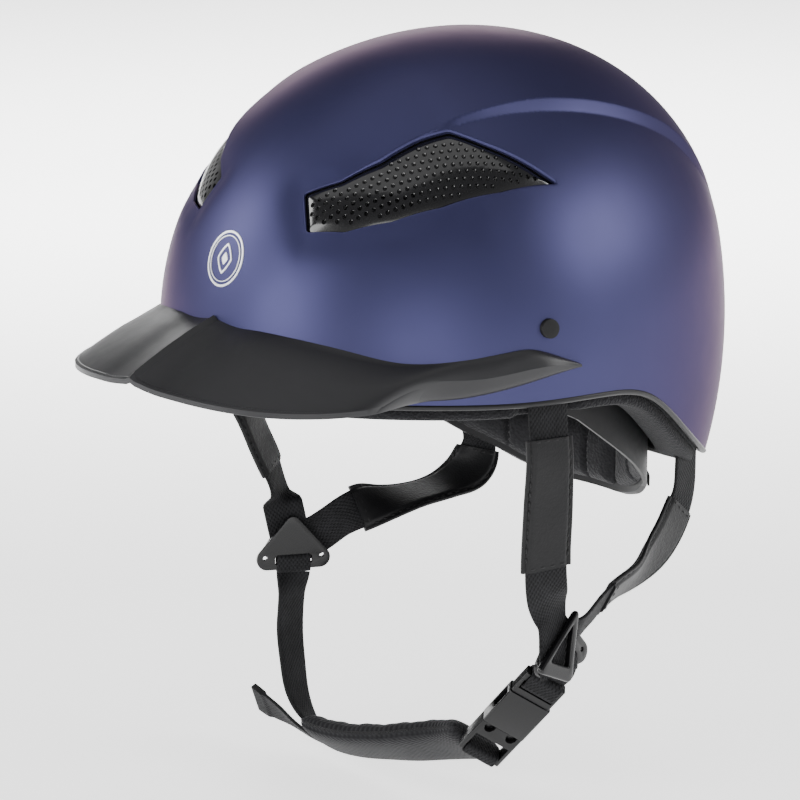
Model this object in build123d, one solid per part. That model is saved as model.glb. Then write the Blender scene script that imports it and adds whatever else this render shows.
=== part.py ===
"""Equestrian riding helmet, in millimetres.

Frame: +Z up, -Y to the front, +X to the rider's left. The origin is the middle of the dome.
"""
from build123d import *
from functools import lru_cache
import math
import os

os.makedirs("parts", exist_ok=True)

# ---------------------------------------------------------------- shell
HALF_WIDTH = 108.5          # dome, side to side
FRONT_LENGTH = 122.8        # dome, middle to forehead
REAR_LENGTH = 152.2         # dome, middle to nape
CROWN_HEIGHT = 122.1        # dome, middle to crown
SKIRT_HEIGHT = 180.5        # the skirt is part of a taller ellipsoid, so that it tapers slowly
DOME_PITCH = 14.9           # the dome leans forward by this angle
SHELL_THICKNESS = 2.6
GRILLE_DEPTH = 2.8          # inset of the grille's flange below the outer surface
GRILLE_THICKNESS = 1.3
LINER_DEPTH = 4.5           # inset of the liner's outside
LINER_INSIDE = 23.0         # inset of the liner's inside
PAD_INSIDE = 30.0           # inset of the comfort pads' inside
BEAD_PROUD = 0.6
BEAD_DROP = 1.2             # the edge bead hangs this far below the shell's edge
BEAD_RISE = 1.6
LINING_DROP = 6.5           # the lining hangs this far below the shell's edge

# lower edge of the shell in side view: (y, z)
RIM = [(-150, -9), (-112, -12), (-84, -13), (-40, -15), (-3, -16), (26, -22), (53, -39),
       (81, -57), (107, -69), (130, -76), (160, -82)]

# corners of the left vent window: front low, rear tip, peak, front high
VENT_CORNERS = [(34, -102, 55), (61, -80, 60), (88, -12, 71), (58, -45, 93), (38, -87, 77), (26, -96, 69)]
VENT_MIDDLE = (60, -60, 74)
VENT_GAP = 0.35
VENT_FLANGE = 3.0

PLUG_PLACE = (-33, 16)      # y, z of the plugs that hold the visor's arms
PLUG_RADIUS = 4.0
BADGE_RADIUS = 9.0
BADGE_Z = 41.0

# ---------------------------------------------------------------- visor
VISOR_THICKNESS = 2.4
KEEL_HEIGHT = 2.2
ARM_THICKNESS = 2.4
# for each x: y and z inside the dome's front, y and z at the free edge
VISOR_SECTIONS = [(0, -112, 16.0 + KEEL_HEIGHT, -166, -2.5 + 1.0), (9, -112, 15.8, -165.8, -3.0),
                  (30, -108, 14.5, -162.5, -4.5), (46, -100, 12.5, -157.0, -5.5),
                  (60, -90, 9.5, -147.5, -7.0), (72, -78, 7.5, -133.5, -8.0),
                  (80, -66, 6.5, -119.0, -8.2), (86, -56, 6.5, -104.0, -8.0)]
ARM_SIDE = [(-118, 12), (-96, 8), (-84, 6), (-61, 7), (-50, 8), (-38, 8), (-29, 4.5), (-19, -1), (-21, -3.5),
            (-32, -4.5), (-45, -5.5), (-57, -7), (-70, -9), (-86, -11), (-118, -10.5)]

# ---------------------------------------------------------------- fit system
HEAD_CENTRE_Y = 38.0        # middle of the nape's curve
CRADLE_RADIUS = 70.0        # inside of the yoke
CRADLE_WALL = 2.0
CRADLE_SIDE = [(-13, 0), (-13, -22), (20, -38), (40, -52), (62, -67), (80, -80), (91, -87), (99, -94),
               (106, -99), (120, -101), (120, -67), (92, -64), (75, -54), (50, -36), (20, -14)]
TEMPLE = (-4.0, -11.0)      # y, z of the temple pivots
PIVOT_RADIUS = 3.0
RUNNING = 0.05              # radial clearance of pins in holes
BAND_GAP = 0.35
BAND_WALL = 1.0
BAND_HEIGHT = 4.5
BAND_ANGLE = 46.0
PINION_Z = -84.0
PINION_TEETH = 10
GEAR_MODULE = 1.2
TOOTH_SHARE = 0.4           # tooth thickness as a share of the pitch, which leaves backlash
ADDENDUM = 1.0
DIAL_RADIUS = 10.5
DIAL_DEPTH = 6.0
SHAFT_RADIUS = 2.5
NAPE_HALF_ANGLE = 15.0

# ---------------------------------------------------------------- harness
WEBBING = 19.0
WEBBING_THICKNESS = 1.4
CHIN_WEBBING = 16.0
CHIN_THICKNESS = 2.0
SLEEVE = 23.0
SLEEVE_WALL = 0.9
SLEEVE_GAP = 0.25

# centre line and width direction of each strap, top to bottom, down to just above its divider
STRAPS = {
    "left_front": [((98.2, -27, -25.5), (0.2, 1, 0)), ((99.5, -27.5, -34), (0.2, 1, 0)),
                   ((98, -26, -62), (0.3, 0.95, 0)), ((95.2, -23, -86), (0.35, 0.93, 0.05)),
                   ((92, -17, -103), (0.3, 0.93, 0.1))],
    "left_rear": [((66, 98, -76), (-0.24, 1, 0)), ((66, 96, -88), (-0.2, 1, -0.15)),
                  ((69.5, 83, -102), (0.0, 0.7, -0.75)), ((74, 66, -111), (-0.2, 0.25, -0.9)),
                  ((77.5, 47, -113), (-0.4, 0.0, -0.9)), ((80.5, 26, -114.5), (-0.35, 0.1, -0.9))],
    "right_front": [((-96.5, -27, -27), (0.24, 1, 0)), ((-97.5, -26.5, -37), (0.1, 1, 0)),
                    ((-98, -21, -60), (-0.4, 0.9, 0.1)), ((-94.5, -12, -84), (-0.45, 0.88, 0.2)),
                    ((-91.5, -8, -100), (-0.45, 0.9, 0.1))],
    "right_rear": [((-66, 97.5, -79.5), (0.24, 1, 0)), ((-65.3, 97.8, -88.5), (0.2, 1, 0)),
                   ((-65.5, 92, -101), (0.0, 0.6, -0.8)), ((-68.5, 76, -108.5), (0.2, 0.25, -0.9)),
                   ((-73.5, 55, -111), (0.4, 0.0, -0.85)), ((-79, 34, -111), (0.45, 0.0, -0.85))],
}
# the last two places of each strap lie between its divider's plate and clip: across, up, out
STRAP_ENDS = {"front": [(-4.0, 20.0, 4.3), (-1.0, 5.0, 4.1)], "rear": [(25.0, 12.0, 3.0), (12.5, 4.5, 2.6)]}
SLEEVE_SPANS = {"front": (0.75, 4.0), "rear": (1.25, 6.0)}    # first and last place, in points
STATION_STEP = 0.25
TAB_RISE = 26.0
TAB_GAP = 1.6
FRONT_SLOT_ROOM = 7.0       # the front straps hang outside the lining
SWING_GAP = 1.0             # the moving straps start this far below the swing axis

DIVIDERS = {"left": ((84.5, -2.5, -131.5), (1.0, 0.1, 0.05)), "right": ((-84.5, -6.5, -124.5), (-0.86, 0.5, 0.0))}
CHIN_STRAP = [((-83.5, -8.5, -147), (0, 0.92, -0.36)), ((-83.2, -10, -164), (0, 0.9, -0.4)),
              ((-80, -11.5, -180), (0, 0.87, -0.45)), ((-75, -12.5, -194.5), (0, 0.85, -0.5)),
              ((-63, -13, -206.5), (0, 0.8, -0.6)), ((-42, -12, -208), (0, 0.8, -0.6)),
              ((-17, -9, -203.5), (0, 0.8, -0.6)), ((4.5, -5, -197.7), (0.1, 0.78, -0.6)),
              ((22, -2, -192.5), (0.2, 0.77, -0.6))]
CHIN_PAD_SPAN = (5.0, 9.75)  # first and last place of the pad on the chin strap, in points
CHIN_PAD_SIZE = (30.0, 11.0)

# ---------------------------------------------------------------- buckle
BUCKLE_MIDDLE = (60.0, -5.0, -168.3)     # middle of the prongs' engaged length
BUCKLE_WIDTH_HINT = (0.47, 0.69, -0.55)
BUCKLE_LEAN = 3.0           # the buckle stands this many degrees steeper than its swing
SOCKET_TOP = 24.0
MOUTH = 9.0
PLUG_END = 28.0
BUCKLE_WIDTH = 21.0
BUCKLE_THICKNESS = 8.0
CAVITY_WIDTH = 17.4
CAVITY_HEIGHT = 5.0
PRONG_THICKNESS = 3.0
PRONG_TIP = 7.0
PRONG_U = 5.6


def face_in_side_view(points, closed_by=()):
    """A face in the YZ plane, with a smooth edge through points and straight ones through closed_by."""
    smooth = Spline([(0, y, z) for y, z in points])
    straight = Polyline([(0, *points[-1])] + [(0, y, z) for y, z in closed_by] + [(0, *points[0])])
    return make_face([smooth, straight])


@lru_cache
def dome(inset):
    """The solid inside the shell's outer surface, inset from it."""
    quarters = []
    for length, turn in ((REAR_LENGTH, 0), (FRONT_LENGTH, 180)):
        for height, low in ((CROWN_HEIGHT, 0), (SKIRT_HEIGHT, -90)):
            quarter = Rot(Z=turn) * Sphere(100, low, low + 90, 180, align=None)
            factors = ((HALF_WIDTH - inset) / 100, (length - inset) / 100, (height - inset) / 100)
            quarters.append(scale(quarter, by=factors))
    whole = quarters[0] + quarters[1] + quarters[2] + quarters[3]
    return Rot(X=DOME_PITCH) * whole


def below_rim(drop):
    """Everything below the shell's edge, lowered by drop."""
    lowered = [(y, z - drop) for y, z in RIM]
    side = face_in_side_view(lowered, [(160, -260), (-150, -260)])
    return extrude(side, 130, both=True)


def layer(outside, inside):
    return dome(outside) - dome(inside)


def mirrored(solid):
    return mirror(solid, about=Plane.YZ)


def vent_prism(grow):
    """The left vent window as a prism that runs out from the origin."""
    plane = Plane(origin=(0, 0, 0), z_dir=VENT_MIDDLE)
    corners = [plane.to_local_coords(Vector(*corner)) for corner in VENT_CORNERS]
    outline = make_face(Polyline([(c.X, c.Y) for c in corners], close=True))
    outline = fillet(outline.vertices(), 3)
    if grow:
        outline = offset(outline, grow)
    return plane * extrude(outline, 140)


def make_shell():
    vent = vent_prism(0)
    plug = plug_cylinder(PLUG_RADIUS + RUNNING)
    shell = layer(0, SHELL_THICKNESS) - below_rim(-BEAD_RISE)
    return shell - vent - mirrored(vent) - plug - mirrored(plug)


def make_bead():
    return (layer(-BEAD_PROUD, SHELL_THICKNESS) & below_rim(-BEAD_RISE)) - below_rim(BEAD_DROP)


def make_grille():
    flange = layer(GRILLE_DEPTH, GRILLE_DEPTH + GRILLE_THICKNESS) & vent_prism(VENT_FLANGE)
    panel = layer(1.2, GRILLE_DEPTH + GRILLE_THICKNESS) & vent_prism(-VENT_GAP)
    return flange + panel


def plug_cylinder(radius):
    place = Pos(HALF_WIDTH, *PLUG_PLACE) * Rot(Y=90)
    return place * Cylinder(radius, 40)


def make_plug():
    return layer(-1.3, SHELL_THICKNESS) & plug_cylinder(PLUG_RADIUS)


def make_badge():
    column = Pos(0, -FRONT_LENGTH, BADGE_Z) * Rot(X=90) * Cylinder(BADGE_RADIUS, 60)
    return layer(-0.5, 0) & column


def make_liner_and_lining():
    whole = layer(LINER_DEPTH, LINER_INSIDE)
    for slot in strap_slots():
        whole = whole - slot
    recess = Pos(0, 116, -86) * Box(34, 30, 70)
    pocket = Pos(86, *TEMPLE) * Rot(Y=90) * Cylinder(9, 12)
    vent = vent_prism(-1.5)
    whole = whole - recess - pocket - mirrored(pocket)
    lower = below_rim(1.0)
    liner = whole - lower - vent - mirrored(vent)
    lining = (whole & lower) - below_rim(LINING_DROP)
    return liner, lining


def make_pads():
    pads = layer(LINER_INSIDE + 0.2, PAD_INSIDE)
    crown = pads & (Pos(0, 12, 110) * Cylinder(42, 80))
    brow = pads & (Pos(0, -85, 6) * Box(140, 90, 30))
    side = pads & (Pos(85, 32, 22) * Box(60, 62, 30))
    return crown, brow, side


# ---------------------------------------------------------------- visor
def make_visor(bead):
    sections = []
    for x, y_in, z_in, y_edge, z_edge in VISOR_SECTIONS:
        low = VISOR_THICKNESS
        corners = [(x, y_in, z_in), (x, y_edge, z_edge), (x, y_edge, z_edge - low), (x, y_in, z_in - low)]
        sections.append(Wire.make_polygon([Vector(*c) for c in corners]))
    half = Solid.make_loft(sections, ruled=True)
    arm_face = make_face(Polyline([(0, y, z) for y, z in ARM_SIDE], close=True))
    arm = layer(-ARM_THICKNESS, 0) & extrude(arm_face, 120)
    arm = arm if arm.center().X > 0 else mirrored(arm)
    half = Part() + half + arm
    whole = half + mirrored(half)
    return whole - dome(0) - bead


# ---------------------------------------------------------------- fit system
def ring(radius, wall, bottom, top):
    """A vertical ring wall round the middle of the nape's curve."""
    tube = Cylinder(radius + wall, top - bottom) - Cylinder(radius, top - bottom + 1)
    return Pos(0, HEAD_CENTRE_Y, (top + bottom) / 2) * tube


def yoke_wall(radius, wall):
    """A horseshoe wall: round at the nape, straight along the temples."""
    nape = ring(radius, wall, -110, 10) & (Pos(0, HEAD_CENTRE_Y + 50, -50) * Box(200, 100, 200))
    arm = Pos(radius + wall / 2, HEAD_CENTRE_Y - 30, -50) * Box(wall, 60, 120)
    return nape + arm + mirrored(arm)


def side_prism(points, inward=0):
    """A prism across the helmet from an outline in side view, optionally shrunk."""
    face = make_face(Polyline(points, close=True))
    if inward:
        face = offset(face, -inward)
    side = Plane(origin=(0, 0, 0), x_dir=(0, 1, 0), z_dir=(1, 0, 0))
    return side * extrude(face, 120, both=True)


def wedge(first, last):
    """A tall wedge about the nape's middle, from one angle to the other, measured from the rear to +X."""
    corners = [(0, HEAD_CENTRE_Y)]
    for step in range(5):
        angle = math.radians(first + (last - first) * step / 4)
        corners.append((150 * math.sin(angle), HEAD_CENTRE_Y + 150 * math.cos(angle)))
    return Pos(0, 0, -150) * extrude(make_face(Polyline(corners, close=True)), 300)


def make_cradle():
    hole = Pos(0, HEAD_CENTRE_Y + CRADLE_RADIUS, PINION_Z) * Rot(X=90) * Cylinder(SHAFT_RADIUS + RUNNING, 20)
    temple = Pos(0, *TEMPLE) * Rot(Y=90) * Cylinder(PIVOT_RADIUS + RUNNING, 200)
    return (yoke_wall(CRADLE_RADIUS, CRADLE_WALL) & side_prism(CRADLE_SIDE)) - hole - temple


def make_cradle_pads():
    inner = yoke_wall(CRADLE_RADIUS - 6.2, 6.0) & side_prism(CRADLE_SIDE, 3)
    left = inner & wedge(NAPE_HALF_ANGLE + 2, 88)
    nape = inner & wedge(-NAPE_HALF_ANGLE, NAPE_HALF_ANGLE)
    shaft_room = Pos(0, HEAD_CENTRE_Y + CRADLE_RADIUS, PINION_Z) * Rot(X=90) * Cylinder(5, 6)
    return left, nape - shaft_room


def make_pivot():
    pin = Pos(77, *TEMPLE) * Rot(Y=90) * Cylinder(PIVOT_RADIUS, 18)
    head = Pos(68.6, *TEMPLE) * Rot(Y=90) * Cylinder(5, 1.6)
    flange = Pos(85, *TEMPLE) * Rot(Y=90) * Cylinder(8.5, 4)
    return pin + head + flange


def tooth_profile():
    half = TOOTH_SHARE * math.pi * GEAR_MODULE / 2
    slope = math.tan(math.radians(20))
    return [(-half - 1.4 * slope, -1.4), (half + 1.4 * slope, -1.4),
            (half - ADDENDUM * slope, ADDENDUM), (-half + ADDENDUM * slope, ADDENDUM)]


PITCH_RADIUS = PINION_TEETH * GEAR_MODULE / 2
BAND_INNER = CRADLE_RADIUS + CRADLE_WALL + BAND_GAP
BAND_PITCH_RADIUS = BAND_INNER + BAND_WALL / 2
BAND_RATIO = PITCH_RADIUS / BAND_PITCH_RADIUS


def make_band(up):
    """One toothed band. up is 1 for the band above the pinion, whose teeth point down, or -1."""
    line = PINION_Z + up * PITCH_RADIUS
    near = line + up * 1.3
    far = near + up * BAND_HEIGHT
    first, last = (-BAND_ANGLE, 12) if up > 0 else (-12, BAND_ANGLE)
    band = ring(BAND_INNER, BAND_WALL, min(near, far), max(near, far)) & wedge(first, last)
    step = math.degrees(math.pi * GEAR_MODULE / BAND_PITCH_RADIUS)
    shape = [(x, -up * z) for x, z in tooth_profile()]
    for index in range(-4, 4):
        plane = Plane(origin=(0, BAND_INNER, line), x_dir=(1, 0, 0), z_dir=(0, -1, 0))
        tooth = extrude(plane * make_face(Polyline(shape, close=True)), -BAND_WALL)
        band = band + Pos(0, HEAD_CENTRE_Y, 0) * Rot(Z=(index + 0.5) * step) * tooth
    return band


def make_pinion():
    start = HEAD_CENTRE_Y + BAND_INNER + 0.05
    plane = Plane(origin=(0, start, PINION_Z), x_dir=(1, 0, 0), z_dir=(0, -1, 0))
    flat = Circle(PITCH_RADIUS - 1.3)
    for index in range(PINION_TEETH):
        tooth = make_face(Polyline([(x, PITCH_RADIUS + z) for x, z in tooth_profile()], close=True))
        flat = flat + Rot(Z=index * 360 / PINION_TEETH) * tooth
    wheel = extrude(plane * flat, -BAND_WALL)
    front = HEAD_CENTRE_Y + CRADLE_RADIUS - 1.5
    back = dial_start() + 4
    shaft = Pos(0, (front + back) / 2, PINION_Z) * Rot(X=90) * Cylinder(SHAFT_RADIUS, back - front)
    return wheel + shaft


def dial_start():
    return HEAD_CENTRE_Y + BAND_INNER + BAND_WALL + 0.4 + 1.5 + 0.4


def make_dial():
    middle = dial_start() + DIAL_DEPTH / 2
    dial = Pos(0, middle, PINION_Z) * Rot(X=90) * Cylinder(DIAL_RADIUS, DIAL_DEPTH)
    for index in range(16):
        angle = 2 * math.pi * index / 16
        x, z = (DIAL_RADIUS + 0.6) * math.cos(angle), (DIAL_RADIUS + 0.6) * math.sin(angle)
        dial = dial - Pos(x, middle, PINION_Z + z) * Rot(X=90) * Cylinder(1.5, DIAL_DEPTH + 1)
    return dial - Pos(0, dial_start() + 2, PINION_Z) * Rot(X=90) * Cylinder(SHAFT_RADIUS, 4)


def make_dial_cover():
    radius = BAND_INNER + BAND_WALL + 0.4
    window = Pos(0, 120, 0) * Box(38, 60, 400)
    cover = ring(radius, 1.5, PINION_Z - 15, PINION_Z + 15) & window
    edge = CRADLE_RADIUS + CRADLE_WALL
    walls = ring(edge, radius - edge + 0.5, PINION_Z + 13.4, PINION_Z + 15) & window
    floor = ring(edge, radius - edge + 0.5, PINION_Z - 15, PINION_Z - 13.4) & window
    hole = Pos(0, 112, PINION_Z) * Rot(X=90) * Cylinder(SHAFT_RADIUS + RUNNING, 20)
    return cover + walls + floor - hole


# ---------------------------------------------------------------- straps
def unit(vector):
    return Vector(*vector).normalized()


def stations(path, first=None, last=None):
    """Places along a path with their width directions, evenly spaced, STATION_STEP of a point apart."""
    line = Spline([point for point, _ in path])
    places = [line.param_at_point(Vector(*point)) for point, _ in path]
    start = 0 if first is None else first
    stop = len(path) - 1 if last is None else last
    result = []
    for step in range(round((stop - start) / STATION_STEP) + 1):
        place = start + step * STATION_STEP
        low = min(int(place), len(path) - 2)
        share = place - low
        across = unit(path[low][1]) * (1 - share) + unit(path[low + 1][1]) * share
        along = line % (places[low] * (1 - share) + places[low + 1] * share)
        side = (across - along * across.dot(along)).normalized()
        here = line @ (places[low] * (1 - share) + places[low + 1] * share)
        result.append((here, side, along.cross(side).normalized()))
    return result


def ribbon(path, width, thickness, shift=0.0, first=None, last=None):
    """A flat strap along a path. shift moves it off the path, towards its outer face."""
    wires = []
    for here, side, out in stations(path, first, last):
        half_w, half_t = side * (width / 2), out * (thickness / 2)
        middle = here + out * shift
        corners = [middle + half_w + half_t, middle - half_w + half_t,
                   middle - half_w - half_t, middle + half_w - half_t]
        wires.append(Wire.make_polygon(corners))
    return Part() + Solid.make_loft(wires, ruled=True)


def wrapped(path, width, wall, core, first, last):
    """Two layers, one on each face of a strap of thickness core."""
    shift = core / 2 + wall / 2
    outer = ribbon(path, width, wall, shift, first, last)
    return outer + ribbon(path, width, wall, -shift, first, last)


def whole_path(name):
    """A strap's path with its last two places, which lie in its divider."""
    side, end = name.split("_")
    plane = divider_plane(side)
    rearward = 1 if side == "left" else -1
    path = list(STRAPS[name])
    places = STRAP_ENDS[end]
    along = Vector(*places[1]) - Vector(*places[0])
    across = plane.x_dir * (-along.Y) + plane.y_dir * (along.X * rearward)
    for u, v, n in places:
        point = plane.from_local_coords(Vector(u * rearward, v, n))
        path.append(((point.X, point.Y, point.Z), (across.X * rearward, across.Y * rearward, across.Z)))
    return path


def make_sleeve(name, path):
    first, last = SLEEVE_SPANS[name.split("_")[1]]
    return wrapped(path, SLEEVE, SLEEVE_WALL, WEBBING_THICKNESS + 2 * SLEEVE_GAP, first, last)


def tab_plane(name):
    (x, y, z), across = STRAPS[name][0]
    return Plane(origin=(x, y, z), x_dir=across, z_dir=(0, 0, 1))


def make_tab(name, path):
    """The short end of webbing that is sewn into the liner, cut parallel to the top of its strap."""
    start = TAB_GAP if name.startswith("left") else SWING_GAP + TAB_GAP
    _, side, _ = stations(path)[0]
    half = WEBBING / 2
    fall = half * side.Z / math.hypot(side.X, side.Y)
    outline = Polyline([(-half, start - fall), (half, start + fall), (half, TAB_RISE), (-half, TAB_RISE)], close=True)
    flat = Rot(X=90) * extrude(make_face(outline), WEBBING_THICKNESS / 2, both=True)
    return tab_plane(name) * flat


def strap_slots():
    slots = []
    for name in STRAPS:
        room = FRONT_SLOT_ROOM if name.endswith("front") else 0
        outward = -room / 2 if name.startswith("left") else room / 2
        size = (WEBBING + 1.5, WEBBING_THICKNESS + 1.4 + room, TAB_RISE + 14)
        slot = Pos(0, outward, TAB_RISE / 2 - 4) * Box(*size)
        slots.append(tab_plane(name) * slot)
    return slots


def divider_plane(side):
    middle, outward = DIVIDERS[side]
    return Plane(origin=middle, x_dir=Vector(0, 0, 1).cross(unit(outward)), z_dir=outward)


def make_divider_plate(side):
    lobes = [Pos(sign * 12.5, -6) * Circle(5) for sign in (-1, 1)] + [Pos(0, 11) * Circle(3.5)]
    outline = make_hull([edge for lobe in lobes for edge in lobe.edges()])
    holes = [Pos(sign * 13.5, -5) * Circle(1.1) for sign in (-1, 1)]
    slot = Pos(0, -6.5) * RectangleRounded(CHIN_WEBBING + 1.6, 4.2, 1)
    flat = outline - holes[0] - holes[1] - slot
    return divider_plane(side) * Pos(0, 0, -1.3) * extrude(flat, 2.2)


def make_divider_clip(side):
    frame = make_face(Polyline([(-12, -7), (12, -7), (13, -3), (2.5, 14), (-2.5, 14), (-13, -3)], close=True))
    frame = fillet(frame.vertices(), 1.8)
    window = fillet(make_face(Polyline([(-9, -3.6), (9, -3.6), (0, 10)], close=True)).vertices(), 1)
    return divider_plane(side) * Pos(0, 0, 5.7) * extrude(frame - window, 2.2)


# ---------------------------------------------------------------- buckle
def swing_axis():
    """The line through the tops of the right-hand straps, about which the freed harness swings."""
    front, rear = Vector(*STRAPS["right_front"][0][0]), Vector(*STRAPS["right_rear"][0][0])
    lift = Vector(0, 0, SWING_GAP)
    return front + lift, (rear - front).normalized()


def buckle_plane():
    """x along the buckle's width, z from the plug up to the socket."""
    start, axis = swing_axis()
    middle = Vector(*BUCKLE_MIDDLE)
    arm = middle - start
    arm = arm - axis * arm.dot(axis)
    down = axis.cross(arm).normalized()
    down = down.rotate(Axis((0, 0, 0), axis), -BUCKLE_LEAN)
    across = unit(BUCKLE_WIDTH_HINT)
    across = (across - down * across.dot(down)).normalized()
    return Plane(origin=middle, x_dir=across, z_dir=down * -1)


def bar(u, n, low, high):
    """A block of the buckle: u and n are (from, to), low and high run along the buckle's axis."""
    size = (u[1] - u[0], n[1] - n[0], high - low)
    return Pos((u[0] + u[1]) / 2, (n[0] + n[1]) / 2, (low + high) / 2) * Box(*size)


def centred(width):
    return (-width / 2, width / 2)


def make_socket():
    thick = centred(BUCKLE_THICKNESS)
    body = bar(centred(BUCKLE_WIDTH), thick, -MOUTH, 12) + bar(centred(BUCKLE_WIDTH - 1), centred(6), 12, SOCKET_TOP)
    body = fillet(body.edges().filter_by(Axis.Z), 1.2)
    cavity = bar(centred(CAVITY_WIDTH), centred(CAVITY_HEIGHT), -MOUTH - 1, 9.5)
    windows = bar(centred(BUCKLE_WIDTH + 4), centred(CAVITY_HEIGHT), -1.0, 9.5)
    slot = bar(centred(CHIN_WEBBING + 1), centred(12), 15, 20)
    return buckle_plane() * (body - cavity - windows - slot)


def make_buckle_plug():
    thick = centred(BUCKLE_THICKNESS - 1)
    base = bar(centred(BUCKLE_WIDTH), thick, -PLUG_END, -MOUTH - 0.4)
    base = fillet(base.edges().filter_by(Axis.Z), 1.2)
    slot = bar(centred(CHIN_WEBBING + 1), centred(12), -25, -17)
    tongue = bar(centred(3.0), centred(PRONG_THICKNESS), -MOUTH - 1, 5)
    pockets = [Pos(sign * PRONG_U, 0, -MOUTH - 2.6) * Rot(X=90) * Cylinder(2.1, 12) for sign in (-1, 1)]
    throats = [bar((sign * PRONG_U - 2.4, sign * PRONG_U + 2.4), centred(12), -MOUTH - 2.6, -MOUTH)
               for sign in (-1, 1)]
    plug = base - slot
    for cut in pockets + throats:
        plug = plug - cut
    return buckle_plane() * (plug + tongue)


def make_prong(sign):
    root = Pos(sign * PRONG_U, 0, -MOUTH - 2.6) * Rot(X=90) * Cylinder(1.9, PRONG_THICKNESS)
    arm = bar((sign * PRONG_U - 1.2, sign * PRONG_U + 1.2), centred(PRONG_THICKNESS), -MOUTH - 2.6, PRONG_TIP)
    barb = bar(tuple(sorted((sign * PRONG_U, sign * (CAVITY_WIDTH / 2 - 0.7)))), centred(PRONG_THICKNESS), 2, 6)
    return buckle_plane() * (root + arm + barb)


def loop(plane, width, out, up, thickness):
    """Webbing round a bar: out and up are the (from, to) of the space that the loop holds."""
    outside = bar(centred(width), (out[0] - thickness, out[1] + thickness), up[0] - thickness, up[1] + thickness)
    inside = bar(centred(width + 2), out, *up)
    return plane * (outside - inside)


def upright(plane):
    """A divider's plane turned so that bar() reads across, out and up."""
    return Plane(origin=plane.origin, x_dir=plane.x_dir, z_dir=plane.y_dir)


def divider_loop(side):
    return loop(upright(divider_plane(side)), CHIN_WEBBING, (-1.3, 1.7), (-11.4, -8.3), 1.2)


def make_buckle_strap():
    """The short webbing between the left divider and the socket, looped round both bars."""
    plane = buckle_plane()
    top_plane = divider_plane("left")
    low = plane.from_local_coords(Vector(0, 0, SOCKET_TOP + 1.6))
    high = top_plane.from_local_coords(Vector(0, -12.3, -0.2))
    side, top_side = plane.x_dir, top_plane.x_dir
    middle = (low + high) * 0.5 + Vector(0.6, 0, 0)
    path = [((high.X, high.Y, high.Z), (top_side.X, top_side.Y, top_side.Z)),
            ((middle.X, middle.Y, middle.Z), tuple((side + top_side) * 0.5)),
            ((low.X, low.Y, low.Z), (side.X, side.Y, side.Z))]
    socket_loop = loop(plane, CHIN_WEBBING, (-3.2, 3.2), (17.0, SOCKET_TOP + 0.4), 1.2)
    return ribbon(path, CHIN_WEBBING, CHIN_THICKNESS) + socket_loop + divider_loop("left")


def chin_path():
    plane = buckle_plane()
    end = plane.from_local_coords(Vector(0, 5.2, -26.5))
    top_plane = divider_plane("right")
    high = top_plane.from_local_coords(Vector(0, -12.3, 0))
    side, top_side = plane.x_dir, top_plane.x_dir * -1
    first = ((high.X, high.Y, high.Z), (top_side.X, top_side.Y, top_side.Z))
    return [first] + CHIN_STRAP + [((end.X, end.Y, end.Z), (side.X, side.Y, side.Z))]


def make_chin_strap(path):
    plug_loop = loop(buckle_plane(), CHIN_WEBBING, (-3.7, 3.7), (-PLUG_END - 0.4, -24.8), 1.2)
    return ribbon(path, CHIN_WEBBING, CHIN_THICKNESS) + plug_loop + divider_loop("right")


def make_chin_pad(path):
    width, thickness = CHIN_PAD_SIZE
    core = CHIN_THICKNESS + 2 * SLEEVE_GAP
    return wrapped(path, width, (thickness - core) / 2, core, *CHIN_PAD_SPAN)


def build():
    nodes = {}
    nodes["outer_shell"] = make_shell()
    nodes["rim_bead"] = make_bead()
    nodes["vent_grille_left"] = make_grille()
    nodes["vent_grille_right"] = mirrored(nodes["vent_grille_left"])
    nodes["visor_plug_left"] = make_plug()
    nodes["visor_plug_right"] = mirrored(nodes["visor_plug_left"])
    nodes["front_badge"] = make_badge()
    nodes["visor"] = make_visor(nodes["rim_bead"])
    nodes["impact_liner"], nodes["rim_lining"] = make_liner_and_lining()
    nodes["crown_pad"], nodes["brow_pad"], nodes["side_pad_left"] = make_pads()
    nodes["side_pad_right"] = mirrored(nodes["side_pad_left"])

    nodes["cradle"] = make_cradle()
    nodes["cradle_pad_left"], nodes["nape_pad"] = make_cradle_pads()
    nodes["cradle_pad_right"] = mirrored(nodes["cradle_pad_left"])
    nodes["cradle_pivot_left"] = make_pivot()
    nodes["cradle_pivot_right"] = mirrored(nodes["cradle_pivot_left"])
    nodes["dial_cover"] = make_dial_cover()
    nodes["dial_pinion"] = make_pinion()
    nodes["fit_dial"] = make_dial()
    nodes["fit_band_right"] = make_band(1)
    nodes["fit_band_left"] = make_band(-1)

    for name in STRAPS:
        path = whole_path(name)
        nodes["strap_" + name] = ribbon(path, WEBBING, WEBBING_THICKNESS)
        nodes["sleeve_" + name] = make_sleeve(name, path)
        nodes["strap_tab_" + name] = make_tab(name, path)
    for side in DIVIDERS:
        nodes["divider_plate_" + side] = make_divider_plate(side)
        nodes["divider_clip_" + side] = make_divider_clip(side)
    nodes["buckle_socket"] = make_socket()
    nodes["buckle_strap"] = make_buckle_strap()
    nodes["buckle_plug"] = make_buckle_plug()
    nodes["buckle_prong_front"] = make_prong(-1)
    nodes["buckle_prong_rear"] = make_prong(1)
    nodes["chin_strap"] = make_chin_strap(chin_path())
    nodes["chin_pad"] = make_chin_pad(chin_path())
    return nodes


for node_name, node in build().items():
    node.label = node_name
    export_step(node, "parts/" + node_name + ".step")
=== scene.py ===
"""Looks for the equestrian riding helmet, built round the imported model."""
import bmesh
import bpy
import math
import numpy as np
from mathutils import Matrix, Vector
from mathutils.geometry import delaunay_2d_cdt


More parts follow.
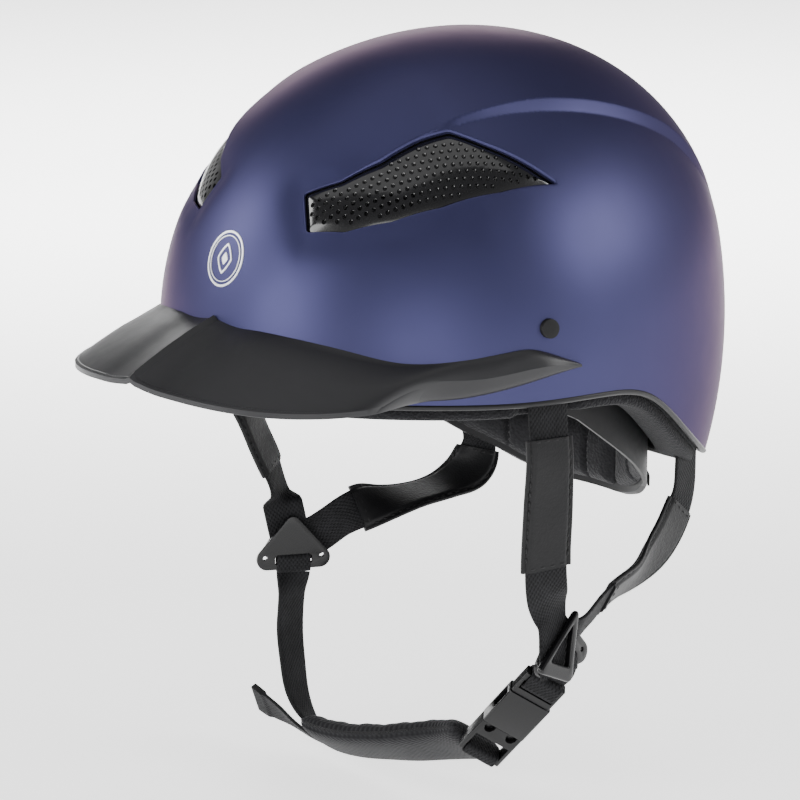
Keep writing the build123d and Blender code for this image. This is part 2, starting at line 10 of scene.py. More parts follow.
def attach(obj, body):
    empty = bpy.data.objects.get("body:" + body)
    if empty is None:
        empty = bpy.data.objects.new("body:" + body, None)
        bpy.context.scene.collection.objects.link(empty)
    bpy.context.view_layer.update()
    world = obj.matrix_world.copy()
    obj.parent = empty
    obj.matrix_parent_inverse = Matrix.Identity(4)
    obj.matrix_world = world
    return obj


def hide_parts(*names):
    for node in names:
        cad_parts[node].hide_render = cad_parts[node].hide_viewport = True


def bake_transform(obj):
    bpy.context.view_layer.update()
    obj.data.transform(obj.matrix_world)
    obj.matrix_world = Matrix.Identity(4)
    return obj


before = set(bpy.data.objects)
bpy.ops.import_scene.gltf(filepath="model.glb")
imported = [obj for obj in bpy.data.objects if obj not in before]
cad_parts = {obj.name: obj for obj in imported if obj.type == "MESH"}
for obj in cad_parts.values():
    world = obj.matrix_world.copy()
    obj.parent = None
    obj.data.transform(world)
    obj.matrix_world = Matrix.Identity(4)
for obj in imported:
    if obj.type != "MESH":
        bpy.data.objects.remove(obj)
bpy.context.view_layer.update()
MM = 0.001
HEAD_CENTRE_Y = 38.0    # the bands and the cradle curve round this

# ---- the dome, as in the CAD
HALF_WIDTH, FRONT_LENGTH, REAR_LENGTH, CROWN, SKIRT = 108.5, 122.8, 152.2, 122.1, 180.5
PITCH = math.radians(14.9)
RIM = [(-150, -9), (-112, -12), (-84, -13), (-40, -15), (-3, -16), (26, -22), (53, -39), (81, -57),
       (107, -69), (130, -76), (160, -82)]         # the edge's (y, z)
TURN = np.array([[1, 0, 0], [0, math.cos(PITCH), -math.sin(PITCH)],
                 [0, math.sin(PITCH), math.cos(PITCH)]])
RIM_POINTS = 420


def cubic(knots, values):
    """Natural cubic spline through values (n, k) at knots, as a function of an array."""
    x, y = np.asarray(knots, float), np.asarray(values, float)
    if y.ndim == 1:
        y = y[:, None]
    n = len(x)
    h = np.diff(x)
    a = np.zeros((n, n))
    b = np.zeros((n, y.shape[1]))
    a[0, 0] = a[-1, -1] = 1
    for i in range(1, n - 1):
        a[i, i - 1:i + 2] = h[i - 1], 2 * (h[i - 1] + h[i]), h[i]
        b[i] = 3 * ((y[i + 1] - y[i]) / h[i] - (y[i] - y[i - 1]) / h[i - 1])
    c = np.linalg.solve(a, b)

    def at(t):
        t = np.atleast_1d(np.asarray(t, float))
        i = np.clip(np.searchsorted(x, t, side="right") - 1, 0, n - 2)
        d = (t - x[i])[:, None]
        hi = h[i][:, None]
        slope = (y[i + 1] - y[i]) / hi - hi * (2 * c[i] + c[i + 1]) / 3
        return y[i] + slope * d + c[i] * d ** 2 + (c[i + 1] - c[i]) / (3 * hi) * d ** 3
    return at


rim_height = cubic([p[0] for p in RIM], [p[1] for p in RIM])


def dome_radius(dirs, inset=0.0):
    """Distance from the origin to the dome, inset by inset, along unit directions (n, 3)."""
    e = dirs @ TURN
    inset = np.broadcast_to(inset, len(e))
    a = HALF_WIDTH - inset
    b = np.where(e[:, 1] > 0, REAR_LENGTH, FRONT_LENGTH) - inset
    c = np.where(e[:, 2] > 0, CROWN, SKIRT) - inset
    return 1 / np.sqrt((e[:, 0] / a) ** 2 + (e[:, 1] / b) ** 2 + (e[:, 2] / c) ** 2)


def directions(q):
    """Unit directions from points of the flat map: distance from the middle is the angle from +Z."""
    q = np.asarray(q, float)
    angle = np.maximum(np.linalg.norm(q, axis=1), 1e-9)
    flat = np.sin(angle) / angle
    return np.stack([q[:, 0] * flat, q[:, 1] * flat, np.cos(angle)], 1)


def to_map(points):
    """The flat map's points for directions to points: the reverse of directions."""
    p = np.asarray(points, float)
    d = p / np.linalg.norm(p, axis=1)[:, None]
    angle = np.arccos(np.clip(d[:, 2], -1, 1))
    flat = np.maximum(np.hypot(d[:, 0], d[:, 1]), 1e-9)
    return np.stack([d[:, 0] / flat * angle, d[:, 1] / flat * angle], 1)


def dome_at(q, inset=0.0):
    """The dome's inset surface over points of the flat map."""
    d = directions(q)
    return d * dome_radius(d, inset)[:, None]


def rim_map(lift, inset=0.0):
    """The rim's line in the flat map, lifted by lift, on the dome's inset surface."""
    turn = np.linspace(0, 2 * math.pi, RIM_POINTS, endpoint=False)
    low, high = np.full(RIM_POINTS, 0.6), np.full(RIM_POINTS, 2.4)
    for _ in range(40):
        mid = (low + high) / 2
        p = dome_at(np.stack([mid * np.cos(turn), mid * np.sin(turn)], 1), inset)
        above = p[:, 2] > rim_height(p[:, 1])[:, 0] + lift
        low, high = np.where(above, mid, low), np.where(above, high, mid)
    return np.stack([low * np.cos(turn), low * np.sin(turn)], 1)


def numeric_normals(surface, other, q, step):
    """Normals of surface(q) by differences, facing away from the other surface."""
    q = np.asarray(q, float)
    du, dv = np.array([step, 0]), np.array([0, step])
    n = np.cross(surface(q + du) - surface(q - du), surface(q + dv) - surface(q - dv))
    n /= np.maximum(np.linalg.norm(n, axis=1), 1e-12)[:, None]
    n[np.sum(n * (surface(q) - other(q)), axis=1) < 0] *= -1
    return n


def segment_distance(q, line, closed=True):
    """From points q to a polyline: the distance, the side (positive inside or left) and the place."""
    a = np.asarray(line, float)
    b = np.roll(a, -1, 0) if closed else a[1:]
    a = a if closed else a[:-1]
    best = np.full(len(q), 1e9)
    side = np.zeros(len(q))
    along = np.zeros(len(q))
    for i in range(len(a)):
        e = b[i] - a[i]
        t = np.clip(((q - a[i]) @ e) / (e @ e), 0, 1)
        r = q - a[i] - t[:, None] * e
        d = np.hypot(r[:, 0], r[:, 1])
        nearer = d < best
        best = np.where(nearer, d, best)
        side = np.where(nearer, np.sign(e[0] * r[:, 1] - e[1] * r[:, 0]), side)
        along = np.where(nearer, i + t, along)
    return best, side, along


def reach(q, line, closed=True):
    return segment_distance(q, line, closed)[0]


def inside(q, polygon):
    """Which of the points q lie in a polygon."""
    q, polygon = np.asarray(q), np.asarray(polygon)
    hit = np.zeros(len(q), bool)
    for (xi, yi), (xj, yj) in zip(polygon, np.roll(polygon, 1, 0)):
        if yi != yj:
            crossing = (xj - xi) * (q[:, 1] - yi) / (yj - yi) + xi
            hit ^= ((yi > q[:, 1]) != (yj > q[:, 1])) & (q[:, 0] < crossing)
    return hit


def rounded_outline(points, cut, rounds=3):
    """A closed outline with its corners rounded, cut back by cut from each corner."""
    pts = []
    corners = [np.array(p, float) for p in points]
    for i, p in enumerate(corners):
        before, after = corners[i - 1], corners[(i + 1) % len(corners)]
        pts += [p + (other - p) * min(cut / np.linalg.norm(other - p), 0.45) for other in (before, after)]
        pts.insert(len(pts) - 1, p)
    for _ in range(rounds):
        following = pts[1:] + pts[:1]
        pts = [p * share + other * (1 - share) for p, other in zip(pts, following) for share in (0.75, 0.25)]
    return np.array(pts)


def outward_normals(line):
    """Unit normals of a closed flat line, facing away from its middle."""
    tangent = np.roll(line, -1, 0) - np.roll(line, 1, 0)
    normal = np.stack([tangent[:, 1], -tangent[:, 0]], 1)
    normal /= np.linalg.norm(normal, axis=1)[:, None]
    return normal if np.sum((line - line.mean(0)) * normal) >= 0 else -normal


def resample(line, gap, closed=True):
    """The same line with its points about gap apart."""
    line = np.asarray(line, float)
    if closed:
        line = np.vstack([line, line[:1]])
    run = np.concatenate([[0], np.cumsum(np.linalg.norm(np.diff(line, axis=0), axis=1))])
    count = max(3, int(round(run[-1] / gap)))
    at = np.linspace(0, run[-1], count + 1)
    out = np.stack([np.interp(at, run, line[:, k]) for k in range(line.shape[1])], 1)
    return out[:-1] if closed else out


def triangulate(points, loops, keep):
    """Delaunay triangles of points that follow the closed loops; keep(centres) picks the triangles."""
    coords = [Vector(p) for p in points]
    edges = []
    for loop in loops:
        start = len(coords)
        coords += [Vector(p) for p in loop]
        edges += [(start + i, start + (i + 1) % len(loop)) for i in range(len(loop))]
    verts, _, faces, _, _, _ = delaunay_2d_cdt(coords, edges, [], 0, 1e-7)
    q = np.array([[v.x, v.y] for v in verts])
    tris = np.array([list(f) for f in faces if len(f) == 3])
    tris = tris[keep(q[tris].mean(1))]
    used = np.unique(tris)
    remap = np.full(len(q), -1)
    remap[used] = np.arange(len(used))
    return q[used], remap[tris]


def scatter(low, high, gap):
    """A staggered grid of points over a box."""
    rows = []
    height = gap * math.sqrt(3) / 2
    for j in range(int((high[1] - low[1]) / height) + 1):
        x = np.arange(low[0] + (gap / 2 if j % 2 else 0), high[0], gap)
        rows.append(np.stack([x, np.full(len(x), low[1] + j * height)], 1))
    return np.vstack(rows)


def boundary_loops(tris):
    """Closed loops of boundary vertices, in the direction of the triangles' edges."""
    edges = {(int(t[k]), int(t[(k + 1) % 3])): True for t in tris for k in range(3)}
    follow = {}
    for a, b in edges:
        if (b, a) not in edges:
            follow.setdefault(a, []).append(b)
    loops = []
    while follow:
        start = here = next(iter(follow))
        loop = [start]
        while here in follow:
            following = follow[here].pop()
            if not follow[here]:
                del follow[here]
            if following == start:
                break
            loop.append(following)
            here = following
        loops.append(loop)
    return loops


def ring_faces(rows, count, closed=True, flip=False, start=0):
    """Quads between rows of count points in rings; closed joins the last row to the first."""
    faces = []
    for i in range(rows if closed else rows - 1):
        j = (i + 1) % rows
        for k in range(count):
            m = (k + 1) % count
            a, b, c, d = (start + row * count + place for row, place in ((i, k), (i, m), (j, m), (j, k)))
            faces.append([a, d, c, b] if flip else [a, b, c, d])
    return faces


def linked(name, data):
    obj = bpy.data.objects.new(name, data)
    bpy.context.scene.collection.objects.link(obj)
    return obj


def new_object(name, verts, faces, uv=None, normals=None, sharp=None):
    """An object from vertices in millimetres; edges over sharp degrees stay sharp."""
    mesh = bpy.data.meshes.new(name)
    mesh.from_pydata([tuple(float(c) * MM for c in v) for v in verts], [],
                     [tuple(int(i) for i in f) for f in faces])
    mesh.shade_smooth()
    if uv is not None:
        layer = mesh.uv_layers.new(name="uv")
        loops = np.zeros(len(mesh.loops), int)
        mesh.loops.foreach_get("vertex_index", loops)
        layer.data.foreach_set("uv", (np.asarray(uv)[loops] * MM).ravel())
    mesh.validate()
    if normals is not None:
        mesh.normals_split_custom_set_from_vertices([tuple(n) for n in normals])
    if sharp:
        mesh.set_sharp_from_angle(angle=math.radians(sharp))
    return linked(name, mesh)


def finish_piece(obj, body, mat, nodes=()):
    """Rides the piece on its body, if one is given, hides the CAD parts it stands for, and gives it its
    material.
    """
    if body:
        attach(obj, body)
    if nodes:
        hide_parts(*nodes)
    obj.data.materials.clear()
    obj.data.materials.append(mat)
    return obj


def patch(name, q, tris, front, back, step=2e-3):
    """A closed sheet: triangles on a front surface, the same on a back one, and walls between."""
    f, b = front(q), back(q)
    loops = boundary_loops(tris)
    count = len(q)
    verts = [f, b]
    faces = [list(t) for t in tris] + [[t[2] + count, t[1] + count, t[0] + count] for t in tris]
    normals = [numeric_normals(front, back, q, step), numeric_normals(back, front, q, step)]
    out = np.cross(f[tris[:, 1]] - f[tris[:, 0]], f[tris[:, 2]] - f[tris[:, 0]])
    if np.sum(out * normals[0][tris[:, 0]]) < 0:
        faces = [face[::-1] for face in faces]
        loops = [loop[::-1] for loop in loops]
    base = 2 * count
    for loop in loops:
        n = len(loop)
        top, low = f[loop], b[loop]
        tangent = np.roll(top, -1, 0) - np.roll(top, 1, 0)
        wall = np.cross(tangent, top - low)
        wall /= np.maximum(np.linalg.norm(wall, axis=1), 1e-9)[:, None]
        verts += [top, low]
        normals += [wall, wall]
        for i in range(n):
            j = (i + 1) % n
            faces.append([base + j, base + i, base + n + i, base + n + j])
        base += 2 * n
    return new_object(name, np.vstack(verts), faces, normals=np.vstack(normals))


# ---- materials
def node(tree, kind, **values):
    made = tree.nodes.new(kind)
    for key, value in values.items():
        if key in made.inputs.keys():
            made.inputs[key].default_value = value
        else:
            setattr(made, key, value)
    return made


def math_node(tree, operation, a, b=None):
    made = tree.nodes.new("ShaderNodeMath")
    made.operation = operation
    for i, value in enumerate((a, b)):
        if value is None:
            continue
        if isinstance(value, (int, float)):
            made.inputs[i].default_value = value
        else:
            tree.links.new(value, made.inputs[i])
    return made.outputs[0]


def material(name, dark, light, rough, spread=0.08, metallic=0.0, coat=0.0, coat_rough=0.1, sheen=0.0,
             spec=0.5, blotch=60.0, relief=(), weave=None, tint=None):
    """A principled material. Its colour wanders between dark and light. relief is a list of
    (kind, scale, height in mm), and weave is (pitch across, pitch along, height), in mm over the UV map."""
    mat = bpy.data.materials.new(name)
    mat.use_nodes = True
    tree = mat.node_tree
    tree.nodes.clear()
    out = tree.nodes.new("ShaderNodeOutputMaterial")
    bsdf = node(tree, "ShaderNodeBsdfPrincipled")
    tree.links.new(bsdf.outputs[0], out.inputs[0])
    for key, value in (("Metallic", metallic), ("Coat Weight", coat), ("Coat Roughness", coat_rough),
                       ("Sheen Weight", sheen), ("Specular IOR Level", spec)):
        bsdf.inputs[key].default_value = value
    if tint:
        bsdf.inputs["Specular Tint"].default_value = (*tint, 1)
    place = tree.nodes.new("ShaderNodeTexCoord")
    noise = node(tree, "ShaderNodeTexNoise", Scale=blotch, Detail=4.0)
    tree.links.new(place.outputs["Object"], noise.inputs["Vector"])
    mix = node(tree, "ShaderNodeMix", data_type="RGBA")
    mix.inputs[6].default_value = (*dark, 1)
    mix.inputs[7].default_value = (*light, 1)
    share = noise.outputs["Fac"]
    rough_noise = node(tree, "ShaderNodeTexNoise", Scale=blotch * 6, Detail=3.0)
    tree.links.new(place.outputs["Object"], rough_noise.inputs["Vector"])
    centred = math_node(tree, "SUBTRACT", rough_noise.outputs["Fac"], 0.5)
    spread_rough = math_node(tree, "MULTIPLY", centred, spread * 2)
    tree.links.new(math_node(tree, "ADD", spread_rough, rough), bsdf.inputs["Roughness"])
    height = None
    for kind, scale, depth in relief:
        if kind == "voronoi":
            texture = node(tree, "ShaderNodeTexVoronoi", Scale=scale)
            value = texture.outputs["Distance"]
        else:
            texture = node(tree, "ShaderNodeTexNoise", Scale=scale, Detail=3.0)
            value = texture.outputs["Fac"]
        tree.links.new(place.outputs["Object"], texture.inputs["Vector"])
        value = math_node(tree, "MULTIPLY", value, depth * MM)
        height = value if height is None else math_node(tree, "ADD", height, value)
    if weave:
        across, along, depth = weave
        split = tree.nodes.new("ShaderNodeSeparateXYZ")
        tree.links.new(place.outputs["UV"], split.inputs[0])
        wave_u, wave_v = (
            math_node(tree, "SINE", math_node(tree, "MULTIPLY", split.outputs[i], math.pi / (pitch * MM)))
            for i, pitch in enumerate((across, along)))
        cloth = math_node(tree, "MULTIPLY", wave_u, wave_v)
        ribs = math_node(tree, "MULTIPLY", math_node(tree, "ABSOLUTE", wave_u), -0.6)
        cloth = math_node(tree, "ADD", cloth, ribs)
        value = math_node(tree, "MULTIPLY", cloth, depth * MM)
        height = value if height is None else math_node(tree, "ADD", height, value)
        share = math_node(tree, "ADD", math_node(tree, "MULTIPLY", cloth, 0.35), share)
    tree.links.new(share, mix.inputs[0])
    tree.links.new(mix.outputs[2], bsdf.inputs["Base Color"])
    if height is not None:
        bump = node(tree, "ShaderNodeBump", Strength=1.0, Distance=1.0)
        tree.links.new(height, bump.inputs["Height"])
        tree.links.new(bump.outputs[0], bsdf.inputs["Normal"])
    return mat


M_SHELL = material("shell_paint", (0.036, 0.037, 0.092), (0.046, 0.048, 0.122), 0.43, 0.03, metallic=0.75,
                   coat=0.06, coat_rough=0.4, tint=(0.42, 0.27, 0.30), blotch=14.0,
                   relief=[("noise", 2600.0, 0.004)])
M_GLOSS = material("gloss_black", (0.004, 0.004, 0.005), (0.008, 0.008, 0.009), 0.16, 0.04, coat=0.4,
                   coat_rough=0.08)
M_BEAD = material("bead_black", (0.005, 0.005, 0.006), (0.008, 0.008, 0.009), 0.42, 0.05, spec=0.25)
M_VISOR = material("visor_matte", (0.011, 0.011, 0.0125), (0.016, 0.016, 0.018), 0.42, 0.05, blotch=30.0,
                   spec=0.35, relief=[("noise", 1800.0, 0.012), ("voronoi", 2400.0, 0.006)])
M_TRIM = material("trim_matte", (0.0045, 0.0045, 0.005), (0.009, 0.009, 0.010), 0.5, 0.07, spec=0.2,
                  relief=[("noise", 1500.0, 0.02)])
M_BADGE = material("badge_metal", (0.78, 0.79, 0.82), (0.92, 0.92, 0.95), 0.35, 0.06, metallic=0.3)
M_FOAM = material("liner_foam", (0.010, 0.010, 0.011), (0.022, 0.022, 0.024), 0.85, 0.05, blotch=300.0,
                  spec=0.25, relief=[("voronoi", 320.0, 0.5)])
M_LINING = material("lining_fabric", (0.004, 0.004, 0.005), (0.018, 0.018, 0.020), 0.9, 0.05, sheen=0.04,
                    blotch=900.0, spec=0.14, relief=[("voronoi", 800.0, 0.6), ("noise", 260.0, 0.2)])
M_PAD = material("pad_fabric", (0.006, 0.006, 0.007), (0.018, 0.018, 0.020), 0.88, 0.06, sheen=0.08,
                 blotch=500.0, spec=0.2, relief=[("voronoi", 700.0, 0.4), ("noise", 120.0, 0.3)])
M_WEB = material("webbing", (0.003, 0.003, 0.0035), (0.016, 0.016, 0.018), 0.75, 0.06, sheen=0.03,
                 blotch=160.0, spec=0.15, weave=(0.95, 1.25, 0.16), relief=[("noise", 900.0, 0.05)])
M_LEATHER = material("leatherette", (0.0045, 0.0045, 0.005), (0.0085, 0.0085, 0.0095), 0.5, 0.08, blotch=90.0,
                     spec=0.2, relief=[("voronoi", 1100.0, 0.10), ("noise", 420.0, 0.12)])
M_CUSHION = material("cushion_fabric", (0.004, 0.004, 0.005), (0.014, 0.014, 0.016), 0.85, 0.06, sheen=0.08,
                     blotch=220.0, spec=0.2, weave=(1.1, 1.4, 0.12), relief=[("noise", 500.0, 0.15)])
M_THREAD = material("thread", (0.003, 0.003, 0.0035), (0.008, 0.008, 0.009), 0.6, 0.05, blotch=900.0,
                    spec=0.3)
M_BUCKLE = material("buckle_plastic", (0.003, 0.003, 0.0035), (0.006, 0.006, 0.0065), 0.22, 0.06, spec=0.3,
                    relief=[("noise", 1300.0, 0.02)])

# ---- shell
# the vent's outline and the crown's crease on the left, as points of the shell
VENT = [(26, -96, 69), (34, -102, 55), (48, -94, 56), (61, -80, 60), (72, -63, 65), (82, -39, 70),
        (88, -12, 71), (78, -24, 81), (69, -35, 88), (58, -45, 93), (53, -56, 90), (47, -73, 82), (38, -87, 75)]
CREASE = [(56, -47, 94), (61, -25, 98), (65, 0, 99), (67.5, 18, 97.5), (69.5, 40, 94), (69, 62, 87),
          (67, 83, 78), (65.5, 97, 69), (62, 112, 55), (57, 124, 38)]
RADIUS = 118.0          # millimetres in one radian of the flat map, near enough
CREASE_GAP = 1.5        # millimetres between the crease's points
LIP = 1.1               # radius of the vent's rolled edge
WALL = 2.6              # the shell's thickness
EDGE_LIFT = 1.2         # the shell's edge stands this far above the rim's line
FINE_REACH = 8.5        # finer triangles lie this near to a vent or crease
HOLE_PITCH, HOLE_RADIUS = 3.9, 1.05
FLIP = np.array([-1.0, 1.0])

vent_line = {1: resample(rounded_outline(to_map(VENT), cut=3.2 / RADIUS), 0.9 / RADIUS)}
vent_line[-1] = vent_line[1][::-1] * FLIP
crease_curve = cubic(np.arange(len(CREASE)), to_map(CREASE))
crease_line = {1: resample(crease_curve(np.linspace(0, len(CREASE) - 1, 200)), CREASE_GAP / RADIUS,
                           closed=False)}
crease_line[-1] = crease_line[1] * FLIP

def smooth(x):
    """A smooth step from 0 to 1."""
    x = np.clip(x, 0, 1)
    return x * x * (3 - 2 * x)


def shell_rise(q):
    """How far the shell stands off the dome, in millimetres."""
    q = np.asarray(q, float)
    rise = np.zeros(len(q))
    for side in (1, -1):
        near = q[:, 0] * side > 0
        if not near.any():
            continue
        p = q[near]
        gap, turn, along = segment_distance(p, crease_line[side], closed=False)
        gap = gap * RADIUS * np.sign(turn) * side       # positive towards the crown
        run = along * CREASE_GAP
        whole = (len(crease_line[side]) - 1) * CREASE_GAP
        fade = smooth(run / 16 + 0.25) * smooth((whole - run) / 45)
        half = 1.3 + 1.5 * smooth(run / 60)             # half the width of the step
        step = np.clip(gap / half, -1, 1)
        decay = np.exp(-np.maximum(np.abs(gap) - half, 0) / 26)
        value = fade * 1.15 * step * decay * smooth(p[:, 0] * side / 0.3)
        out = np.where(inside(p, vent_line[side]), 0, reach(p, vent_line[side]) * RADIUS)
        roll = np.clip(1 - out / LIP, 0, 1)
        value -= LIP * (1 - np.sqrt(1 - roll ** 2 * 0.995))
        front = smooth((-p[:, 1] - 0.62) / 0.25)        # a shallow dish round the vent's front
        value -= 1.5 * np.exp(-(out / 8.0) ** 2) * front * smooth(out / 1.5 + 0.5)
        rise[near] += value
    return rise


def shell_outside(q):
    d = directions(q)
    return d * (dome_radius(d) + shell_rise(q))[:, None]


def shell_inside(q):
    return dome_at(q, WALL)


def ring_around(line, gap_mm):
    """A loop that follows line, gap_mm outside it."""
    return line + outward_normals(line) * gap_mm / RADIUS


def make_shell():
    edge = rim_map(EDGE_LIFT)
    rim_radius = np.linalg.norm(edge, axis=1)
    turns = np.arctan2(edge[:, 1], edge[:, 0]) % (2 * math.pi)

    def within_rim(q, margin=0.0):
        turn = np.arctan2(q[:, 1], q[:, 0]) % (2 * math.pi)
        return np.linalg.norm(q, axis=1) < np.interp(turn, turns, rim_radius, period=2 * math.pi) - margin

    coarse = scatter((-2.2, -2.2), (2.2, 2.2), 3.2 / RADIUS)
    fine = scatter((-2.2, -2.2), (2.2, 2.2), 1.1 / RADIUS)
    close = np.zeros(len(fine), bool)
    vents = [(vent_line[side], True, 1.7) for side in (1, -1)]
    for line, closed, clear in vents + [(crease_line[side], False, 0.3) for side in (1, -1)]:
        coarse = coarse[reach(coarse, line, closed) * RADIUS > FINE_REACH]
        box = np.where(np.all((fine > line.min(0) - 0.1) & (fine < line.max(0) + 0.1), axis=1))[0]
        away = reach(fine[box], line, closed) * RADIUS
        close[box[(away < FINE_REACH) & (away > clear)]] = True
    for line, _, clear in vents:
        box = np.where(close)[0]
        close[box[reach(fine[box], line) * RADIUS < clear]] = False
    points = np.vstack([coarse, fine[close]])
    points = points[within_rim(points, 1.2 / RADIUS)]
    loops = [edge]
    for side in (1, -1):
        points = points[~inside(points, vent_line[side])]
        loops += [vent_line[side]] + [ring_around(vent_line[side], gap) for gap in (0.12, 0.35, 0.7, 1.1)]
    q, tris = triangulate(points, loops,
                          lambda c: within_rim(c) & ~inside(c, vent_line[1]) & ~inside(c, vent_line[-1]))
    shell = patch("shell", q, tris, shell_outside, shell_inside)
    return finish_piece(shell, "helmet", M_SHELL, ["outer_shell"])


def make_grille(side):
    """A gloss black panel that bulges behind the vent's edge, with staggered round holes."""
    line = ring_around(vent_line[side], -0.25)

    def panel(inset):
        def surface(q):
            gap = reach(np.asarray(q), vent_line[side]) * RADIUS
            return dome_at(q, inset - 1.9 * (1 - np.exp(-gap / 5.0)))
        return surface

    def from_hole(q):
        return np.min(np.linalg.norm(q[:, None] - holes[None], axis=2), axis=1) * RADIUS

    low, high = line.min(0), line.max(0)
    holes = scatter(low, high, HOLE_PITCH / RADIUS)
    holes = holes[inside(holes, line)]
    holes = holes[reach(holes, line) * RADIUS > 2.6]
    turn = np.linspace(0, 2 * math.pi, 14, endpoint=False)
    ring = np.stack([np.cos(turn), np.sin(turn)], 1)
    loops = [line] + [hole + ring * HOLE_RADIUS / RADIUS for hole in holes]
    points = scatter(low, high, 1.7 / RADIUS)
    points = points[inside(points, line)]
    points = points[reach(points, line) * RADIUS > 0.6]
    points = points[from_hole(points) > 1.4]
    q, tris = triangulate(points, loops, lambda c: inside(c, line) & (from_hole(c) > HOLE_RADIUS - 0.03))
    word = "left" if side > 0 else "right"
    grille = patch("grille_" + word, q, tris, panel(3.2), panel(4.2))
    return finish_piece(grille, "helmet", M_GLOSS, ["vent_grille_" + word])


make_shell()
make_grille(1)
make_grille(-1)


# ---- helpers for swept and refined pieces
class Path:
    """A strap's route: points with width directions, read at places counted in points."""

    def __init__(self, route):
        pts = np.array([r[0] for r in route], float)
        self.knots = np.concatenate([[0], np.cumsum(np.linalg.norm(np.diff(pts, axis=0), axis=1))])
        self.line = cubic(self.knots, pts)
        widths = np.array([r[1] for r in route], float)
        self.across = cubic(np.arange(len(route)), widths / np.linalg.norm(widths, axis=1)[:, None])

    def frames(self, places):
        """At places: the points, the directions across and out, and the run from the start."""
        places = np.asarray(places, float)
        low = np.minimum(places.astype(int), len(self.knots) - 2)
        share = places - low
        run = self.knots[low] * (1 - share) + self.knots[low + 1] * share
        here = self.line(run)
        ahead, behind = self.line(run + 0.05), self.line(run - 0.05)
        along = (ahead - behind) / np.linalg.norm(ahead - behind, axis=1)[:, None]
        side = self.across(places)
        side -= along * np.sum(side * along, axis=1)[:, None]
        side /= np.linalg.norm(side, axis=1)[:, None]
        return here, side, np.cross(along, side), run

    def places(self, first, last, gap):
        """Places from first to last, gap millimetres apart."""
        runs = np.interp([first, last], np.arange(len(self.knots)), self.knots)
        at = np.linspace(runs[0], runs[1], max(3, int((runs[1] - runs[0]) / gap)))
        return np.interp(at, self.knots, np.arange(len(self.knots)))


def webbing_section(width, thickness, corner=0.55, lanes=6):
    """A flat strap's section with rounded edges, as (across, out) points."""
    pts = []
    half, depth = width / 2, thickness / 2
    for sign in (1, -1):
        for turn in (0, 30, 60, 90):
            c, s = math.cos(math.radians(turn)), math.sin(math.radians(turn))
            pts.append((sign * (half - corner + corner * c), sign * (depth - corner + corner * s)))
        for k in range(1, lanes):
            pts.append((sign * (half - corner) * (1 - 2 * k / lanes), sign * depth))
        for turn in (90, 120, 150):
            c, s = math.cos(math.radians(turn)), math.sin(math.radians(turn))
            pts.append((sign * (-half + corner + corner * c), sign * (depth - corner + corner * s)))
    return pts


def sweep(name, path, first, last, section, gap=1.5, wobble=0.0, seed=0.0):
    """Sweeps section(place share, run) or a fixed one along a path, with flat ends."""
    places = path.places(first, last, gap)
    here, side, out, run = path.frames(places)
    verts, uv = [], []
    for i in range(len(places)):
        pts = section(i / (len(places) - 1), run[i]) if callable(section) else section
        lift = wobble * (math.sin(run[i] * 0.21 + seed) + 0.6 * math.sin(run[i] * 0.083 + 2 * seed))
        for u, n in pts:
            twist = wobble * 0.05 * u * math.sin(run[i] * 0.13 + seed * 3)
            verts.append(here[i] + side[i] * u + out[i] * (n + lift + twist))
            uv.append((u if n >= 0 else -u, run[i]))
    rows, count = len(places), len(pts)
    faces = ring_faces(rows, count, closed=False)
    faces.append(list(range(count))[::-1])
    faces.append([(rows - 1) * count + k for k in range(count)])
    return new_object(name, verts, faces, uv=uv, sharp=50)


def stitches(name, path, lines, length=2.6, gap=1.2, size=0.5):
    """Rows of thread: lines is a list of (first place, last place, [across], [out]) or crosswise
    (place, None, (from, to), [out])."""
    verts, faces = [], []
    ring = [(math.cos(a), math.sin(a)) for a in np.linspace(0, 2 * math.pi, 6, endpoint=False)]

    def stitch(middle, along, side, up):
        start = len(verts)
        for share, fat in ((-0.5, 0.25), (-0.36, 0.9), (0.0, 1.15), (0.36, 0.9), (0.5, 0.25)):
            sink = -0.25 * size if abs(share) > 0.4 else 0.1 * size
            for c, d in ring:
                verts.append(middle + along * share * length + side * c * fat * size
                             + up * (d * fat * size * 0.7 + sink))
        faces.extend(ring_faces(5, 6, closed=False, start=start))
        faces.append([start + j for j in range(6)][::-1])
        faces.append([start + 24 + j for j in range(6)])

    for first, last, across, levels in lines:
        places = [first] if last is None else path.places(first, last, length + gap)
        here, side, out, _ = path.frames(places)
        if last is None:
            along = np.cross(side, out)[0]
            steps = int((across[1] - across[0]) / (length + gap))
            spots = [(0, across[0] + (k + 0.5) * (across[1] - across[0]) / steps, side[0], along)
                     for k in range(steps)]
        else:
            spots = []
            for i in range(1, len(places) - 1):
                along = here[i + 1] - here[i - 1]
                spots += [(i, u, along / np.linalg.norm(along), side[i]) for u in across]
        for i, u, along, beside in spots:
            for level in levels:
                stitch(here[i] + side[i] * u + out[i] * level, along, beside, out[i] * math.copysign(1, level))
    return new_object(name, verts, faces)


def refined(node_name, body, mat, width):
    """A copy of a hard CAD part with its edges rolled."""
    bm = bmesh.new()
    bm.from_mesh(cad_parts[node_name].data)
    bmesh.ops.remove_doubles(bm, verts=bm.verts, dist=2e-6)
    bmesh.ops.dissolve_limit(bm, angle_limit=math.radians(0.6), verts=bm.verts, edges=bm.edges)
    sharp = [e for e in bm.edges if e.is_manifold and e.calc_face_angle(0) > math.radians(32)]
    bmesh.ops.bevel(bm, geom=sharp, offset=width * MM, offset_type="OFFSET", segments=2, profile=0.6,
                    affect="EDGES", clamp_overlap=True)
    mesh = bpy.data.meshes.new(node_name + "_rolled")
    bm.to_mesh(mesh)
    bm.free()
    mesh.shade_smooth()
    mesh.set_sharp_from_angle(angle=math.radians(38))
    return finish_piece(linked(node_name + "_rolled", mesh), body, mat, [node_name])


